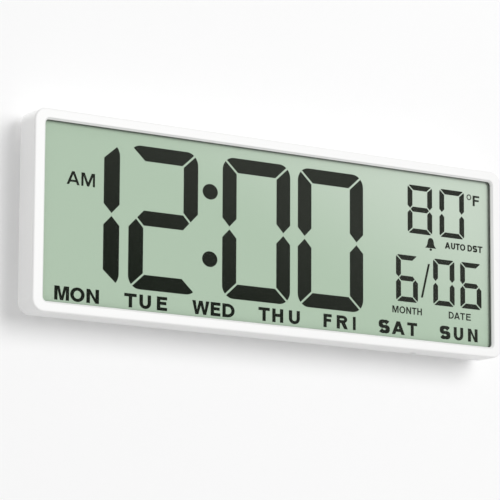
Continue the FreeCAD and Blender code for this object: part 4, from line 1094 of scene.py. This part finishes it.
def flat_sheet(name, corner, across, along, material, shields, lines=9):
    """A flat sheet: a grid of points from one corner across two sides. It may shield the sky."""
    share = np.linspace(0.0, 1.0, lines)
    first, second = np.meshgrid(share, share, indexing="ij")
    points = (np.array(corner) + first[..., None] * np.array(across)
              + second[..., None] * np.array(along)).reshape(-1, 3)
    mesh = bpy.data.meshes.new(name)
    mesh.from_pydata(points.tolist(), [], grid_faces(lines, lines, False, False))
    mesh.materials.append(material)
    made = bpy.data.objects.new(name, mesh)
    bpy.context.scene.collection.objects.link(made)
    made.visible_diffuse = shields
    made.visible_shadow = False


def hang_lamps(scene):
    """Round lamps that face the clock's middle."""
    middle = Vector((0.0, 0.0, DISPLAY_MIDDLE))
    for name, azimuth, elevation, distance, size, power in LAMPS:
        turn, tilt = math.radians(azimuth), math.radians(elevation)
        way = Vector((
            math.sin(turn) * math.cos(tilt), -math.cos(turn) * math.cos(tilt), math.sin(tilt)))
        light = bpy.data.lights.new(name, "AREA")
        light.shape = "DISK"
        light.size = size
        light.energy = power
        lamp = bpy.data.objects.new(name, light)
        lamp.location = middle + way * distance
        lamp.rotation_euler = (-way).to_track_quat("-Z", "Y").to_euler()
        scene.collection.objects.link(lamp)


def make_sky(scene):
    """A white sky that is seen at full strength and lights at its own level."""
    scene.world = bpy.data.worlds.new("studio_sky")
    sky = Finish("studio_sky", scene.world)
    rays = sky.node("ShaderNodeLightPath").socket.node.outputs
    seen = (Wire(sky, rays["Is Camera Ray"]) + Wire(sky, rays["Is Glossy Ray"])
            + Wire(sky, rays["Is Transmission Ray"]))
    level = sky.node("ShaderNodeMath", {"operation": "MINIMUM"}, {0: seen, 1: 1.0})
    sky.show(sky.node("ShaderNodeBackground", {}, {
        "Color": (1.0, 1.0, 1.0, 1.0), "Strength": SKY_LEVEL + (1.0 - SKY_LEVEL) * level}),
        "ShaderNodeOutputWorld")


def place_camera(scene):
    """The camera, looking square to its right and up directions."""
    lens = bpy.data.cameras.new("photo_camera")
    lens.lens = CAMERA_LENS
    lens.sensor_width = 36.0
    lens.clip_start = 0.01
    lens.clip_end = 50.0
    camera = bpy.data.objects.new("photo_camera", lens)
    right, up = Vector(CAMERA_RIGHT), Vector(CAMERA_UP)
    turned = Matrix((right, up, right.cross(up))).transposed().to_4x4()
    turned.translation = Vector(CAMERA_PLACE)
    camera.matrix_world = turned
    scene.collection.objects.link(camera)
    scene.camera = camera


class DAYCLOCK_OT_stage(bpy.types.Operator):
    """Makes the wall, floor, lamps, sky and camera."""

    bl_idname = "dayclock.stage"
    bl_label = "Stage"

    def execute(self, context):
        wall_tint = tuple(context.scene.day_clock_colours.wall)
        wall_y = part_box("rear_cover")[1].y + WALL_GAP
        corner, across = (-WALL_WIDTH / 2.0, wall_y, FLOOR_HEIGHT), (WALL_WIDTH, 0.0, 0.0)
        flat_sheet("studio_wall", corner, (0.0, 0.0, WALL_HEIGHT), across,
                   painted_wall("wall_paint", wall_tint), True)
        flat_sheet("studio_floor", corner, across, (0.0, -FLOOR_DEPTH, 0.0),
                   painted_wall("floor_paint", shade(wall_tint, FLOOR_SHADE)), False)
        hang_lamps(context.scene)
        make_sky(context.scene)
        place_camera(context.scene)
        context.scene.view_settings.view_transform = "Standard"
        return {"FINISHED"}


OPERATORS = (
    DAYCLOCK_OT_finishes, DAYCLOCK_OT_glazing, DAYCLOCK_OT_time, DAYCLOCK_OT_small_figures,
    DAYCLOCK_OT_small_words, DAYCLOCK_OT_weekdays, DAYCLOCK_OT_springs, DAYCLOCK_OT_stage)


class DAYCLOCK_PT_panel(bpy.types.Panel):
    """Lists the steps that make the clock's looks."""

    bl_idname = "DAYCLOCK_PT_panel"
    bl_label = "Day clock"
    bl_space_type = "VIEW_3D"
    bl_region_type = "UI"
    bl_category = "Day clock"

    def draw(self, context):
        for settings in (context.scene.day_clock_sizes, context.scene.day_clock_colours):
            for name in settings.__annotations__:
                self.layout.prop(settings, name)
        for operator in OPERATORS:
            self.layout.operator(operator.bl_idname)


CLASSES = (DayClockSizes, DayClockColours, *OPERATORS, DAYCLOCK_PT_panel)


def register():
    """Registers the classes and hangs the settings on the scene."""
    for made in CLASSES:
        bpy.utils.register_class(made)
    bpy.types.Scene.day_clock_sizes = bpy.props.PointerProperty(type=DayClockSizes)
    bpy.types.Scene.day_clock_colours = bpy.props.PointerProperty(type=DayClockColours)


def unregister():
    """Takes the settings and the classes away again."""
    del bpy.types.Scene.day_clock_colours
    del bpy.types.Scene.day_clock_sizes
    for made in reversed(CLASSES):
        bpy.utils.unregister_class(made)


def main():
    """Runs every step in order."""
    register()
    for operator in OPERATORS:
        group, name = operator.bl_idname.split(".")
        getattr(getattr(bpy.ops, group), name)()


if __name__ == "__main__":
    main()
